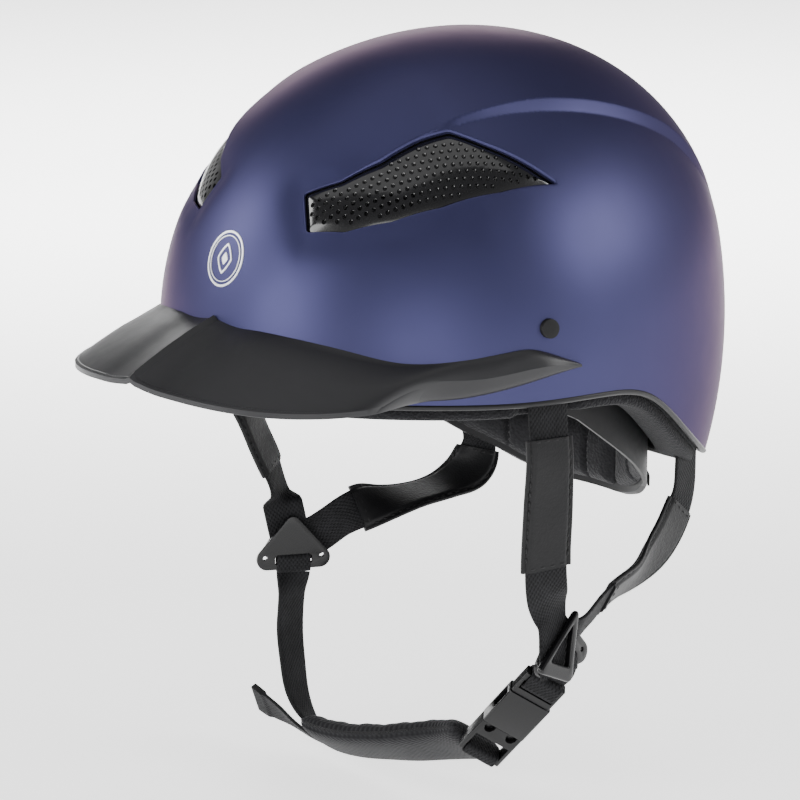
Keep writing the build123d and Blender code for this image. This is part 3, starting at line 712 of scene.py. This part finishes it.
# ---- edge trim and lining
def rim_ring(name, section, mat, nodes):
    """Sweeps a closed section of (inset, lift) pairs round the shell's edge. An inset may be an array."""
    rows = []
    for inset, lift in section:
        inset = np.broadcast_to(np.asarray(inset, float), RIM_POINTS)
        rows.append(dome_at(rim_map(lift, inset), inset))
    verts = np.stack(rows, 1).reshape(-1, 3)
    ring = new_object(name, verts, ring_faces(RIM_POINTS, len(section)))
    return finish_piece(ring, "helmet", mat, nodes)


bead_section = [(1.0 - 1.6 * math.cos(a), 0.2 + 1.4 * math.sin(a))
                for a in np.linspace(0, 2 * math.pi, 14, endpoint=False)]
rim_ring("edge_bead", bead_section, M_BEAD, ["rim_bead"])

# the lining steps back where the front straps hang, and stays outside the rear ones
lining_points = dome_at(rim_map(-3, 10.0), 10.0)
beside_strap = np.maximum(np.abs(lining_points[:, 1] + 27) - 10.5, 0)
near_strap = np.exp(-(beside_strap / 3.0) ** 2) * (np.abs(lining_points[:, 0]) > 60)
lining_outer = 4.6 + 4.9 * near_strap
near_rear = (np.abs(lining_points[:, 0]) < 22) & (lining_points[:, 1] > 0)
lining_inner = np.where(near_rear, 9.0, 22.6)
lining_inner = np.concatenate([lining_inner[-3:], lining_inner, lining_inner[:3]])
lining_inner = np.convolve(lining_inner, np.ones(7) / 7, "valid")
lining_section = [(lining_outer + (lining_inner - lining_outer) * share, lift) for share, lift in (
    (0.0, -1.2), (0.0, -5.2), (0.03, -6.1), (0.10, -6.7), (0.3, -6.9), (0.6, -6.9), (0.88, -6.7),
    (0.97, -6.0), (1.0, -5.0), (1.0, -1.2))]
rim_ring("lining_band", lining_section, M_LINING, ["rim_lining"])
for name, mat in (("impact_liner", M_FOAM), ("cradle", M_TRIM), ("dial_cover", M_TRIM), ("fit_dial", M_TRIM),
                  ("dial_pinion", M_TRIM), ("fit_band_right", M_TRIM)):
    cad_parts[name].data.materials.clear()
    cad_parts[name].data.materials.append(mat)

# ---- visor
# the visor's line on the shell and its free edge, on the left
JUNCTION = [(0, -122, 16), (29, -117, 15), (56, -103, 11), (74, -88, 6), (88, -70, 6), (98, -50, 8),
            (103, -38, 7.5), (108, -19, 0)]
FREE_EDGE = [(0, -166, -2), (30, -162.5, -4.5), (60, -148, -7), (78, -125, -8), (84.5, -104, -8.5),
             (90, -74, -10), (103, -38, -4.5), (108, -19, -1.5)]
THICK = 2.4             # the peak's thickness


def make_visor():
    """The peak and its arms: rows of points from the shell to the free edge, mirrored."""
    inner, outer = cubic(range(8), JUNCTION), cubic(range(8), FREE_EDGE)
    marks = np.unique(np.concatenate([np.linspace(0, 0.12, 9), np.linspace(0.12, 0.6, 14),
                                      np.linspace(0.6, 7, 120)]))
    rows = np.concatenate([np.linspace(0, 0.46, 9), np.linspace(0.5, 0.93, 9),
                           [0.955, 0.963, 0.972, 0.985, 0.994, 1.0]])
    top, low = [], []
    for m in marks:
        start, end = inner(m)[0], outer(m)[0]
        hug = float(smooth((m - 3.6) / 1.6))            # 1 where the arm lies on the shell
        fold = float(smooth((m - 1.6) / 1.4) * smooth((7.0 - m) / 1.0))
        for f in rows:
            p = start + (end - start) * f
            keel = max(0.0, 1 - p[0] / 2.6) * 1.5 + 0.9 * math.exp(-(p[0] / 6.0) ** 2)
            keel -= 0.5 * math.exp(-((p[0] - 15) / 7.0) ** 2)
            keel *= 1 - 0.55 * float(smooth((f - 0.93) / 0.07))
            p = p + np.array([0, 0, (keel + 4.8 * f * (1 - f)) * (1 - hug)])
            d = p / np.linalg.norm(p)
            skin = float(dome_radius(d[None])[0])
            hugged = d * (skin + 0.5 + 1.7 * (1 - (2 * abs(f - 0.5)) ** 6))
            p = p * (1 - hug) + hugged * hug
            p = p + d * 2.0 * (1 - abs(f - 0.5) / 0.5) * fold * (0.5 + 0.5 * hug)
            p = p + np.array([0, 0, 0.5]) * float(smooth((f - 0.955) / 0.015)) * (1 - hug)
            p = p + d * max(0.0, skin - 0.2 - np.linalg.norm(p))
            edge = 0.35 if f > 0.995 else 0.0
            under = p - np.array([0, 0, THICK - edge]) * (1 - hug) - d * 2.0 * hug
            if np.linalg.norm(under) < skin - 0.6:
                under = d * (skin - 0.6)
            top.append(p)
            low.append(under)
    top = np.array(top).reshape(len(marks), len(rows), 3)
    low = np.array(low).reshape(len(marks), len(rows), 3)
    top = np.concatenate([top[::-1] * [-1, 1, 1], top[1:]])
    low = np.concatenate([low[::-1] * [-1, 1, 1], low[1:]])
    n, m = top.shape[:2]
    verts = np.concatenate([top.reshape(-1, 3), low.reshape(-1, 3)])
    half = n * m
    faces = []
    for i in range(n - 1):
        for j in range(m - 1):
            a = i * m + j
            faces.append([a, a + 1, a + m + 1, a + m])
            faces.append([half + a, half + a + m, half + a + m + 1, half + a + 1])
        for j, flip in ((0, False), (m - 1, True)):
            quad = [i * m + j, (i + 1) * m + j, half + (i + 1) * m + j, half + i * m + j]
            faces.append(quad[::-1] if flip else quad)
    for i, flip in ((0, True), (n - 1, False)):
        for j in range(m - 1):
            quad = [i * m + j, i * m + j + 1, half + i * m + j + 1, half + i * m + j]
            faces.append(quad[::-1] if flip else quad)
    visor = new_object("visor_peak", verts, faces, sharp=20)
    finish_piece(visor, "helmet", M_VISOR, ["visor"])


make_visor()

# ---- harness
# each strap's route, as points with width directions, from its tab down to its divider
STRAPS = {
    "left_front": [
        ((98.2, -27, -2), (0.2, 1, 0)), ((98.2, -27, -25.5), (0.2, 1, 0)), ((99.5, -27.5, -34), (0.2, 1, 0)),
        ((98, -26, -62), (0.3, 0.95, 0)), ((95.2, -24, -86), (0.35, 0.93, 0.05)),
        ((92.5, -20, -103), (0.3, 0.93, 0.1))],
    "left_rear": [
        ((66, 98, -52), (-0.24, 1, 0)), ((66, 98, -76), (-0.24, 1, 0)), ((66, 96.5, -88), (-0.2, 1, -0.1)),
        ((69, 84, -101.5), (-0.12, 0.72, -0.68)), ((73.5, 66, -109.5), (-0.25, 0.35, -0.87)),
        ((79, 45, -114), (-0.6, 0.4, -0.65))],
    "right_front": [
        ((-96.5, -27, -3), (0.24, 1, 0)), ((-96.5, -27, -27), (0.24, 1, 0)), ((-97.5, -26.5, -37), (0.1, 1, 0)),
        ((-98, -21, -60), (-0.4, 0.9, 0.1)), ((-94.5, -12, -84), (-0.45, 0.88, 0.2)),
        ((-91.5, -8, -100), (-0.45, 0.9, 0.1))],
    "right_rear": [
        ((-66, 97.5, -56), (0.24, 1, 0)), ((-66, 97.5, -79.5), (0.24, 1, 0)),
        ((-65.3, 97.8, -88.5), (0.2, 1, 0)), ((-65.5, 92, -101), (0.75, 0.45, -0.4)),
        ((-67.5, 76, -107.5), (0.97, 0.05, -0.2)), ((-71, 48, -109.5), (0.93, 0.1, -0.35))],
}
# where the straps lie in their dividers: across, up and out
STRAP_ENDS = {"left_front": [(-11.5, 17.0, 4.3), (-10.5, 3.0, 4.1), (-9.0, -9.0, 3.6)],
              "right_front": [(-4.0, 20.0, 4.3), (-1.0, 5.0, 4.1)],
              "left_rear": [(23.0, 12.5, 3.0), (11.0, 6.0, 2.6), (0.0, 1.5, 2.4)],
              "right_rear": [(25.0, 12.0, 3.0), (12.5, 4.5, 2.6), (3.0, 0.5, 2.5)]}
SLEEVE_SPANS = {"front": (1.75, 4.2), "rear": (2.3, 5.75)}    # first and last place, in points
STRAP_WIDTH, CHIN_WIDTH, SLEEVE_WIDTH = 19.0, 16.0, 23.0


class Place:
    """A local frame: x, y and z directions at an origin."""

    def __init__(self, origin, x, z):
        self.o = np.array(origin, float)
        self.z = np.array(z, float) / np.linalg.norm(z)
        x = np.array(x, float)
        x -= self.z * (x @ self.z)
        self.x = x / np.linalg.norm(x)
        self.y = np.cross(self.z, self.x)

    def __call__(self, u, v, n):
        return self.o + self.x * u + self.y * v + self.z * n


def divider(middle, outward):
    return Place(middle, np.cross((0, 0, 1), outward), outward)


DIVIDER = {"left": divider((84.5, -2.5, -131.5), (1.0, 0.1, 0.05)),
           "right": divider((-84.5, -6.5, -124.5), (-0.86, 0.5, 0.0))}
BUCKLE = Place((60, -5, -168.3), (0.479102, 0.692779, -0.538999), (0.614174, 0.174122, 0.769722))


def whole_path(name):
    """A strap's path with its last places, which lie in its divider."""
    side = name.split("_")[0]
    plane = DIVIDER[side]
    rearward = 1 if side == "left" else -1
    route = list(STRAPS[name])
    ends = STRAP_ENDS[name]
    du, dv = ends[1][0] - ends[0][0], ends[1][1] - ends[0][1]
    across = (plane.x * -dv + plane.y * du * rearward) * rearward
    across /= np.linalg.norm(across)
    for u, v, n in ends:
        turning = name == "left_rear" and u > ends[-1][0]      # this strap still turns as it goes in
        width = across * 0.25 + np.array((-0.65, 0.45, -0.55)) if turning else across
        route.append((plane(u * rearward, v, n), width))
    return Path(route)


def sleeve_half(u, width):
    """Half thickness of a sleeve at u across: raised over the strap, thin at the sewn edge."""
    edge = width / 2 - abs(u)
    seam = math.exp(-((edge - 1.9) / 0.45) ** 2)
    return (0.15 + 0.85 * math.sqrt(max(0.0, 1 - (1 - min(edge / 0.9, 1)) ** 2)) - 0.3 * seam
            + 0.95 * float(smooth((edge - 2.0) / 1.6)))


def sleeve_section(width):
    us = [width / 2 * math.cos(a) for a in np.linspace(0, math.pi, 45)]
    return [(sign * u, sign * sleeve_half(u, width)) for sign in (1, -1) for u in us]


for number, name in enumerate(STRAPS):
    path = whole_path(name)
    side, end = name.split("_")
    body = "helmet" if side == "left" else "right_harness"
    strap = sweep("webbing_" + name, path, 0, len(path.knots) - 1, webbing_section(STRAP_WIDTH, 1.5), 1.5, 0.12,
                  number)
    finish_piece(strap, "helmet" if side == "left" else None, M_WEB,
                 ["strap_" + name, "strap_tab_" + name])
    if side == "right":
        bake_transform(strap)
    first, last = SLEEVE_SPANS[end]
    sleeve = sweep("leather_" + name, path, first, last, sleeve_section(SLEEVE_WIDTH), 1.2, 0.12, number)
    finish_piece(sleeve, body, M_LEATHER, ["sleeve_" + name])
    thread = stitches("thread_" + name, path, [(first + 0.08, last - 0.08, (-9.6, 9.6), (0.78, -0.78))]
                      + [(place, None, (-9, 9), (1.75, -1.75)) for place in (first + 0.09, last - 0.09)])
    finish_piece(thread, body, M_THREAD)

for name, body in (("divider_plate_left", "helmet"),
                   ("divider_plate_right", "right_harness"), ("divider_clip_right", "right_harness"),
                   ("buckle_socket", "helmet"), ("buckle_plug", "right_harness"),
                   ("buckle_prong_front", "prong_front"), ("buckle_prong_rear", "prong_rear")):
    refined(name, body, M_BUCKLE, 0.6)

# the left band's free end rises behind the cradle
band_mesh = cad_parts["fit_band_left"].data.copy()
band_points = np.empty(len(band_mesh.vertices) * 3)
band_mesh.vertices.foreach_get("co", band_points)
band_points = band_points.reshape(-1, 3)
band_turn = np.degrees(np.arctan2(band_points[:, 0], band_points[:, 1] - HEAD_CENTRE_Y * MM))
band_points[:, 2] += smooth((band_turn - 14) / 22) * 10.5 * MM
band_mesh.vertices.foreach_set("co", band_points.ravel())
finish_piece(linked("band_left_raised", band_mesh), "band_left", M_TRIM, ["fit_band_left"])
for name in ("cradle_pivot_left", "cradle_pivot_right", "visor_plug_left", "visor_plug_right"):
    refined(name, "helmet", M_TRIM, 0.3)


def left_clip():
    """The left divider's clip: a triangular moulded frame with rolled edges."""
    plane, low, high, rounding, count = DIVIDER["left"], 5.2, 8.4, 1.1, 96
    corners = np.array([(3.2, 17.5), (-25.5, -4.0), (-3.5, -14.5)])
    centre = corners.mean(0)
    hole = centre + (corners - centre) * 0.56 + (0.6, 1.5)

    def spread(loop):
        """count points round a loop, from its top."""
        loop = np.roll(loop, -int(np.argmax((loop - loop.mean(0))[:, 1])), 0)
        if np.cross(loop[5] - loop.mean(0), loop[9] - loop.mean(0)) < 0:
            loop = np.roll(loop[::-1], 1, 0)
        at = np.linspace(0, 1, len(loop) + 1)
        closed = np.concatenate([loop, loop[:1]])
        turn = np.linspace(0, 1, count, endpoint=False)
        return np.stack([np.interp(turn, at, closed[:, k]) for k in (0, 1)], 1)

    def shrunk(loop, by):
        out = loop - loop.mean(0)
        return loop - out / np.linalg.norm(out, axis=1)[:, None] * by

    outer = spread(resample(rounded_outline(corners, cut=7.0), 0.9))
    inner = spread(resample(rounded_outline(hole, cut=2.6), 0.45))
    quarter = [math.radians(a) for a in (0, 30, 60, 90)]
    verts = []
    for loop, inward, level, rise, turns in (
            (outer, 1, low, 1, quarter), (outer, 1, high, -1, quarter[::-1]),
            (inner, -1, high, -1, quarter), (inner, -1, low, 1, quarter[::-1])):
        for a in turns:
            height = level + rise * rounding * (1 - math.cos(a))
            verts += [plane(u, v, height) for u, v in shrunk(loop, inward * rounding * (1 - math.sin(a)))]
    clip = new_object("clip_left", verts, ring_faces(16, count), sharp=50)
    finish_piece(clip, "helmet", M_BUCKLE, ["divider_clip_left"])


left_clip()

# ---- chin strap and pad
CHIN = [((-83.5, -8.5, -147), (0, 0.92, -0.36)), ((-83.2, -10, -164), (0, 0.9, -0.4)),
        ((-80, -11.5, -180), (0, 0.87, -0.45)), ((-75, -12.5, -194.5), (0, 0.85, -0.5)),
        ((-63, -13, -206.5), (0, 0.8, -0.6)), ((-42, -12, -208), (0, 0.8, -0.6)),
        ((-17, -9, -203.5), (0, 0.8, -0.6)), ((4.5, -5, -197.7), (0.1, 0.78, -0.6)),
        ((22, -2, -192.5), (0.2, 0.77, -0.6))]
CHIN_PAD_SPAN = (5.0, 9.75)     # first and last place, in points
chin = Path([(DIVIDER["right"](0, -12.3, 0), -DIVIDER["right"].x)] + CHIN + [(BUCKLE(0, 5.2, -26.5), BUCKLE.x)])


def bar_loop(name, plane, out, up, body):
    """Webbing round a bar, as a rounded closed band: out and up are the space inside it."""
    corners = [(out[0], up[0]), (out[1], up[0]), (out[1], up[1]), (out[0], up[1])]
    rounded = rounded_outline(corners, cut=min(out[1] - out[0], up[1] - up[0]) * 0.45)
    normal = outward_normals(rounded)
    thickness = 1.2
    section = webbing_section(CHIN_WIDTH, thickness)
    steps = np.linalg.norm(np.roll(rounded, -1, 0) - rounded, axis=1)
    runs = np.concatenate([[0], np.cumsum(steps)[:-1]])
    verts, uv = [], []
    for here, away, run in zip(rounded, normal, runs):
        for u, t in section:
            verts.append(plane(u, *(here + away * (t + thickness / 2))))
            uv.append((u, run))
    band = new_object(name, verts, ring_faces(len(rounded), len(section), flip=True), uv=uv)
    finish_piece(band, body, M_WEB)


chin_web = sweep("chin_webbing", chin, 0, len(chin.knots) - 1, webbing_section(CHIN_WIDTH, 2.0), 1.5, 0.1, 5)
finish_piece(chin_web, "right_harness", M_WEB, ["chin_strap"])
bar_loop("chin_loop", BUCKLE, (-3.7, 3.7), (-28.4, -24.8), "right_harness")
for side, body in (("right", "right_harness"), ("left", "helmet")):
    upright = Place(DIVIDER[side].o, DIVIDER[side].x, DIVIDER[side].y)
    bar_loop("divider_loop_" + side, upright, (-1.7, 1.3), (-11.4, -5.0), body)
bar_loop("socket_loop", BUCKLE, (-3.2, 3.2), (17.0, 24.4), "helmet")
high, low = DIVIDER["left"](0, -12.3, -0.2), BUCKLE(0, 0, 25.6)
high_width = DIVIDER["left"].x
short = Path([(high, high_width), ((high + low) / 2 + [0.6, 0, 0], high_width + BUCKLE.x), (low, BUCKLE.x)])
short_web = sweep("buckle_webbing", short, 0, 2, webbing_section(CHIN_WIDTH, 2.0), 1.2)
finish_piece(short_web, "helmet", M_WEB, ["buckle_strap"])


def pad_section(share, run):
    """The chin pad: a thick cushion towards the chin over a flat outer strip, with a seam between."""
    end = max(0.05, 1 - (abs(2 * share - 1)) ** 14) ** 0.5
    puff = 1 + 0.05 * math.sin(run * 0.33) + 0.03 * math.sin(run * 0.81 + 1)
    pts = []
    for a in np.linspace(0, 2 * math.pi, 48, endpoint=False):
        c, s = math.cos(a), math.sin(a)
        u = 14.8 * math.copysign(abs(c) ** 0.55, c)
        n = (5.9 * puff if s > 0 else 5.0) * math.copysign(abs(s) ** 0.75, s)
        pinch = math.exp(-((n + 2.1) / 0.75) ** 2)
        u *= 1 - 0.075 * pinch
        pts.append((u * (0.9 + 0.1 * end), n * end))
    return pts


chin_pad = sweep("chin_cushion", chin, *CHIN_PAD_SPAN, pad_section, 1.1, 0.1, 2)
finish_piece(chin_pad, "right_harness", M_CUSHION, ["chin_pad"])

tail = Path([((-58, -15.5, -211), (0, -0.8, 0.6)), ((-70, -15.5, -209), (0.1, -0.72, 0.68)),
             ((-82, -15, -206.5), (0.3, -0.6, 0.72)), ((-94, -14.5, -204.5), (0.45, -0.45, 0.75)),
             ((-103, -14, -203), (0.5, -0.4, 0.75))])


def tail_section(share, run):
    """The strap's tail, folded and sewn at its end."""
    return webbing_section(CHIN_WIDTH, 1.6 * (1 + 0.9 * float(smooth((share - 0.78) / 0.04))))


tail_web = sweep("chin_tail", tail, 0, 4, tail_section, 1.0, 0.15, 3)
finish_piece(tail_web, "right_harness", M_WEB)

# ---- pads inside
CRADLE_RADIUS = 70.0
# the cradle pads' upper and lower edges, as (y, z)
PAD_HIGH = [(-13, 0), (20, -14), (50, -36), (75, -54), (92, -64), (120, -67)]
PAD_LOW = [(-13, -22), (20, -38), (40, -52), (62, -67), (80, -80), (91, -87), (99, -94), (106, -99),
           (120, -101)]


def yoke(q, radius):
    """Points on the cradle's wall from (run from the rear, height), both signs of run."""
    run, z = q[:, 0], q[:, 1]
    bend = CRADLE_RADIUS * math.pi / 2
    sign = np.sign(run) + (run == 0)
    angle = np.minimum(np.abs(run), bend) / CRADLE_RADIUS
    straight = np.maximum(np.abs(run) - bend, 0)
    return np.stack([sign * radius * np.sin(angle), HEAD_CENTRE_Y + radius * np.cos(angle) - straight, z], 1)


def quilted(name, outline, seams, surface, depth, body, nodes, gap, step):
    """A crowned pad over an outline of surface(points, height), pulled down along its seams."""
    line = resample(outline, gap * 0.8)
    soft = 2.6              # the crown and the seams fade over this

    def height(q):
        edge = np.where(inside(q, line), reach(q, line), 0)
        value = 0.12 + 0.88 * (1 - np.exp(-edge / soft))
        for seam in seams:
            value *= 1 - 0.62 * np.exp(-(reach(q, seam, closed=False) / (soft * 0.45)) ** 2)
        return value * depth

    points = scatter(line.min(0), line.max(0), gap)
    points = points[inside(points, line)]
    points = points[reach(points, line) > gap * 0.5]
    q, tris = triangulate(points, [line], lambda c: inside(c, line))
    pad = patch(name, q, tris, lambda p: surface(p, height(p)), lambda p: surface(p, 0.0), step)
    finish_piece(pad, body, M_PAD, nodes)


def cradle_pad(name, start, stop, seams, nodes):
    """A pad on the cradle from start to stop along it, with upright seams."""
    runs = np.linspace(start, stop, 40)
    y = yoke(np.stack([runs, runs * 0], 1), CRADLE_RADIUS)[:, 1]
    high, low = (np.interp(y, *np.array(edge, float).T) + trim
                 for edge, trim in ((PAD_HIGH, -3.2), (PAD_LOW, 3.2)))
    line = np.concatenate([np.stack([runs, high], 1), np.stack([runs, low], 1)[::-1]])
    outline = rounded_outline(resample(line, 4.0), cut=1.6, rounds=2)
    lines = [np.array([(run, -110.0), (run * 0.985, 0.0)]) for run in seams]
    quilted(name, outline, lines, lambda q, h: yoke(q, CRADLE_RADIUS - 0.3 - h), 6.1, "cradle", nodes, 2.0,
            0.05)


for word, sign in (("left", 1), ("right", -1)):
    cradle_pad("cradle_pad_%s_soft" % word, 21.5 * sign, 155.0 * sign,
               [run * sign for run in (45, 68, 92, 118)], ["cradle_pad_" + word])
cradle_pad("nape_pad_soft", -17.5, 17.5, (0.0,), ["nape_pad"])


def on_dome(x=None, y=None, z=None, inset=25.0, sign=1):
    """The point of the inset dome with two coordinates given."""
    low, high = 0.0, 170.0
    for _ in range(50):
        mid = (low + high) / 2
        p = np.array([sign * mid if value is None else value for value in (x, y, z)], float)
        size = np.linalg.norm(p)
        if size < dome_radius((p / size)[None], inset)[0]:
            low = mid
        else:
            high = mid
    return p


def dome_pad(name, outline, seams, nodes):
    """A pad on the liner, over an outline with seams, all points of the dome."""
    unit = RADIUS * 0.8     # millimetres in one radian at the pads' depth
    quilted(name, to_map(outline) * unit, [to_map(seam) * unit for seam in seams],
            lambda q, h: dome_at(q / unit, 23.3 + h), 6.5, "helmet", nodes, 2.2, 0.1)


def crown_point(share, a):
    return on_dome(x=share * 41 * math.cos(a), y=12 + share * 41 * math.sin(a))


circle = [crown_point(1, a) for a in np.linspace(0, 2 * math.pi, 60, endpoint=False)]
cross = [[crown_point(s * 30 / 41, a) for s in np.linspace(-1, 1, 9)] for a in (0.8, 2.34)]
dome_pad("crown_pad_soft", circle, cross, ["crown_pad"])
brow = [on_dome(x=x, z=19.5, sign=-1) for x in np.linspace(-67, 67, 40)]
brow += [on_dome(x=x, z=-7.0, sign=-1) for x in np.linspace(67, -67, 40)]
brow_seams = [[on_dome(x=x, z=z, sign=-1) for z in np.linspace(19, -7, 6)] for x in (-40, -14, 14, 40)]
dome_pad("brow_pad_soft", brow, brow_seams, ["brow_pad"])
for sign, word in ((1, "left"), (-1, "right")):
    side_pad = [on_dome(y=y, z=36, sign=sign) for y in np.linspace(3, 61, 20)]
    side_pad += [on_dome(y=y, z=9, sign=sign) for y in np.linspace(61, 3, 20)]
    seam = [on_dome(y=32, z=z, sign=sign) for z in np.linspace(36, 9, 6)]
    dome_pad("side_pad_%s_soft" % word, side_pad, [seam], ["side_pad_" + word])

# ---- badge
def badge():
    """A plain badge: a rounded outline ring, a thinner ring inside it and a small lozenge."""
    centre = on_dome(x=0, z=41, inset=0, sign=-1)
    place = Place(centre, (1, 0, 0), centre)
    verts, faces = [], []
    count = 96
    section = ((1, -0.1), (1, 0.2), (0.6, 0.38), (-0.6, 0.38), (-1, 0.2), (-1, -0.1))

    def ring(outer, inner, shape):
        start = len(verts)
        middle, half = (outer + inner) / 2, (outer - inner) / 2
        for a in np.linspace(0, 2 * math.pi, count, endpoint=False):
            u, v = shape(a)
            for side, lift in section:
                size = middle + side * half
                p = place(u * size, v * size, 0)
                d = p / np.linalg.norm(p)
                verts.append(d * (dome_radius(d[None])[0] + lift))
        faces.extend(ring_faces(count, len(section), flip=True, start=start))

    def egg(a):
        return math.cos(a), 1.14 * math.sin(a)

    def lozenge(a):
        size = 1 / (abs(math.cos(a)) ** 1.25 + abs(math.sin(a)) ** 1.25) ** 0.8
        return size * math.cos(a) * 0.8, size * math.sin(a) * 1.2

    ring(10.4, 9.5, egg)
    ring(8.6, 8.2, egg)
    ring(5.4, 4.4, lozenge)
    ring(2.2, 0.05, lozenge)
    plain = new_object("badge_plain", verts, faces, sharp=40)
    finish_piece(plain, "helmet", M_BADGE, ["front_badge"])


badge()

# ---- stage, camera, lights
CAMERA = (0.84272, -0.81709, 0.26446)
FLOOR_Z, FLOOR_HALF = -0.2245, 6
camera = linked("camera", bpy.data.cameras.new("camera"))
camera.data.lens = 123.4
camera.data.sensor_width = 36
backward = Vector((0.70227, -0.66643, 0.25038)).normalized()
right = Vector((0.68835, 0.72537, 0.0)).normalized()
up = backward.cross(right)
camera.matrix_world = Matrix([(right[i], up[i], backward[i], CAMERA[i]) for i in range(3)] + [(0, 0, 0, 1)])
bpy.context.scene.camera = camera

floor_mesh = bpy.data.meshes.new("floor")
corners = [(x * FLOOR_HALF, y * FLOOR_HALF, FLOOR_Z) for x, y in ((-1, -1), (1, -1), (1, 1), (-1, 1))]
floor_mesh.from_pydata(corners, [], [(0, 1, 2, 3)])
floor = linked("floor", floor_mesh)
M_FLOOR = material("floor_pale", (0.86, 0.86, 0.86), (0.88, 0.88, 0.88), 0.8, 0.02)
glow = next(n for n in M_FLOOR.node_tree.nodes if n.type == "BSDF_PRINCIPLED")
glow.inputs["Emission Color"].default_value = (1, 1, 1, 1)
glow.inputs["Emission Strength"].default_value = 1.5
floor.data.materials.append(M_FLOOR)

# a world that is darker high up, so that the shell's top isn't washed out
world = bpy.data.worlds.new("studio")
bpy.context.scene.world = world
world.use_nodes = True
backdrop = world.node_tree
toward = backdrop.nodes.new("ShaderNodeTexCoord")
height_of = backdrop.nodes.new("ShaderNodeSeparateXYZ")
fade = backdrop.nodes.new("ShaderNodeMapRange")
fade.interpolation_type = "SMOOTHSTEP"
for key, value in (("From Min", 0.1), ("From Max", 0.55), ("To Min", 0.6), ("To Max", 0.22)):
    fade.inputs[key].default_value = value
backdrop.links.new(toward.outputs["Generated"], height_of.inputs[0])
backdrop.links.new(height_of.outputs[2], fade.inputs[0])
backdrop.links.new(fade.outputs[0], backdrop.nodes["Background"].inputs[1])
backdrop.nodes["Background"].inputs[0].default_value = (1, 1, 1, 1)


def area_light(name, place, aim, size, power):
    light = bpy.data.lights.new(name, "AREA")
    light.shape = "RECTANGLE"
    light.size, light.size_y = size
    light.energy = power
    obj = linked(name, light)
    obj.location = place
    obj.rotation_euler = (Vector(aim) - Vector(place)).to_track_quat("-Z", "Y").to_euler()


area_light("key_left", (-0.15, -1.65, 0.30), (0, 0, 0), (0.8, 0.8), 15)
area_light("back_right", (1.15, 1.10, 0.62), (0, 0, 0), (0.8, 0.6), 15)
area_light("camera_side", (1.35, -0.95, 0.10), (0, 0, -0.08), (0.9, 0.6), 6)
area_light("far_left", (-1.3, -1.2, 0.8), (0, -0.05, 0), (0.8, 0.8), 20)
area_light("overhead", (0.0, 0.0, 2.3), (0, 0, 0), (2.6, 2.6), 18)
area_light("rear_left", (-1.2, 0.9, 0.5), (0, 0, 0), (0.9, 0.5), 7)
area_light("backdrop", (-1.0, 1.05, 1.4), (-2.6, 2.65, -0.2), (2.2, 1.6), 220)
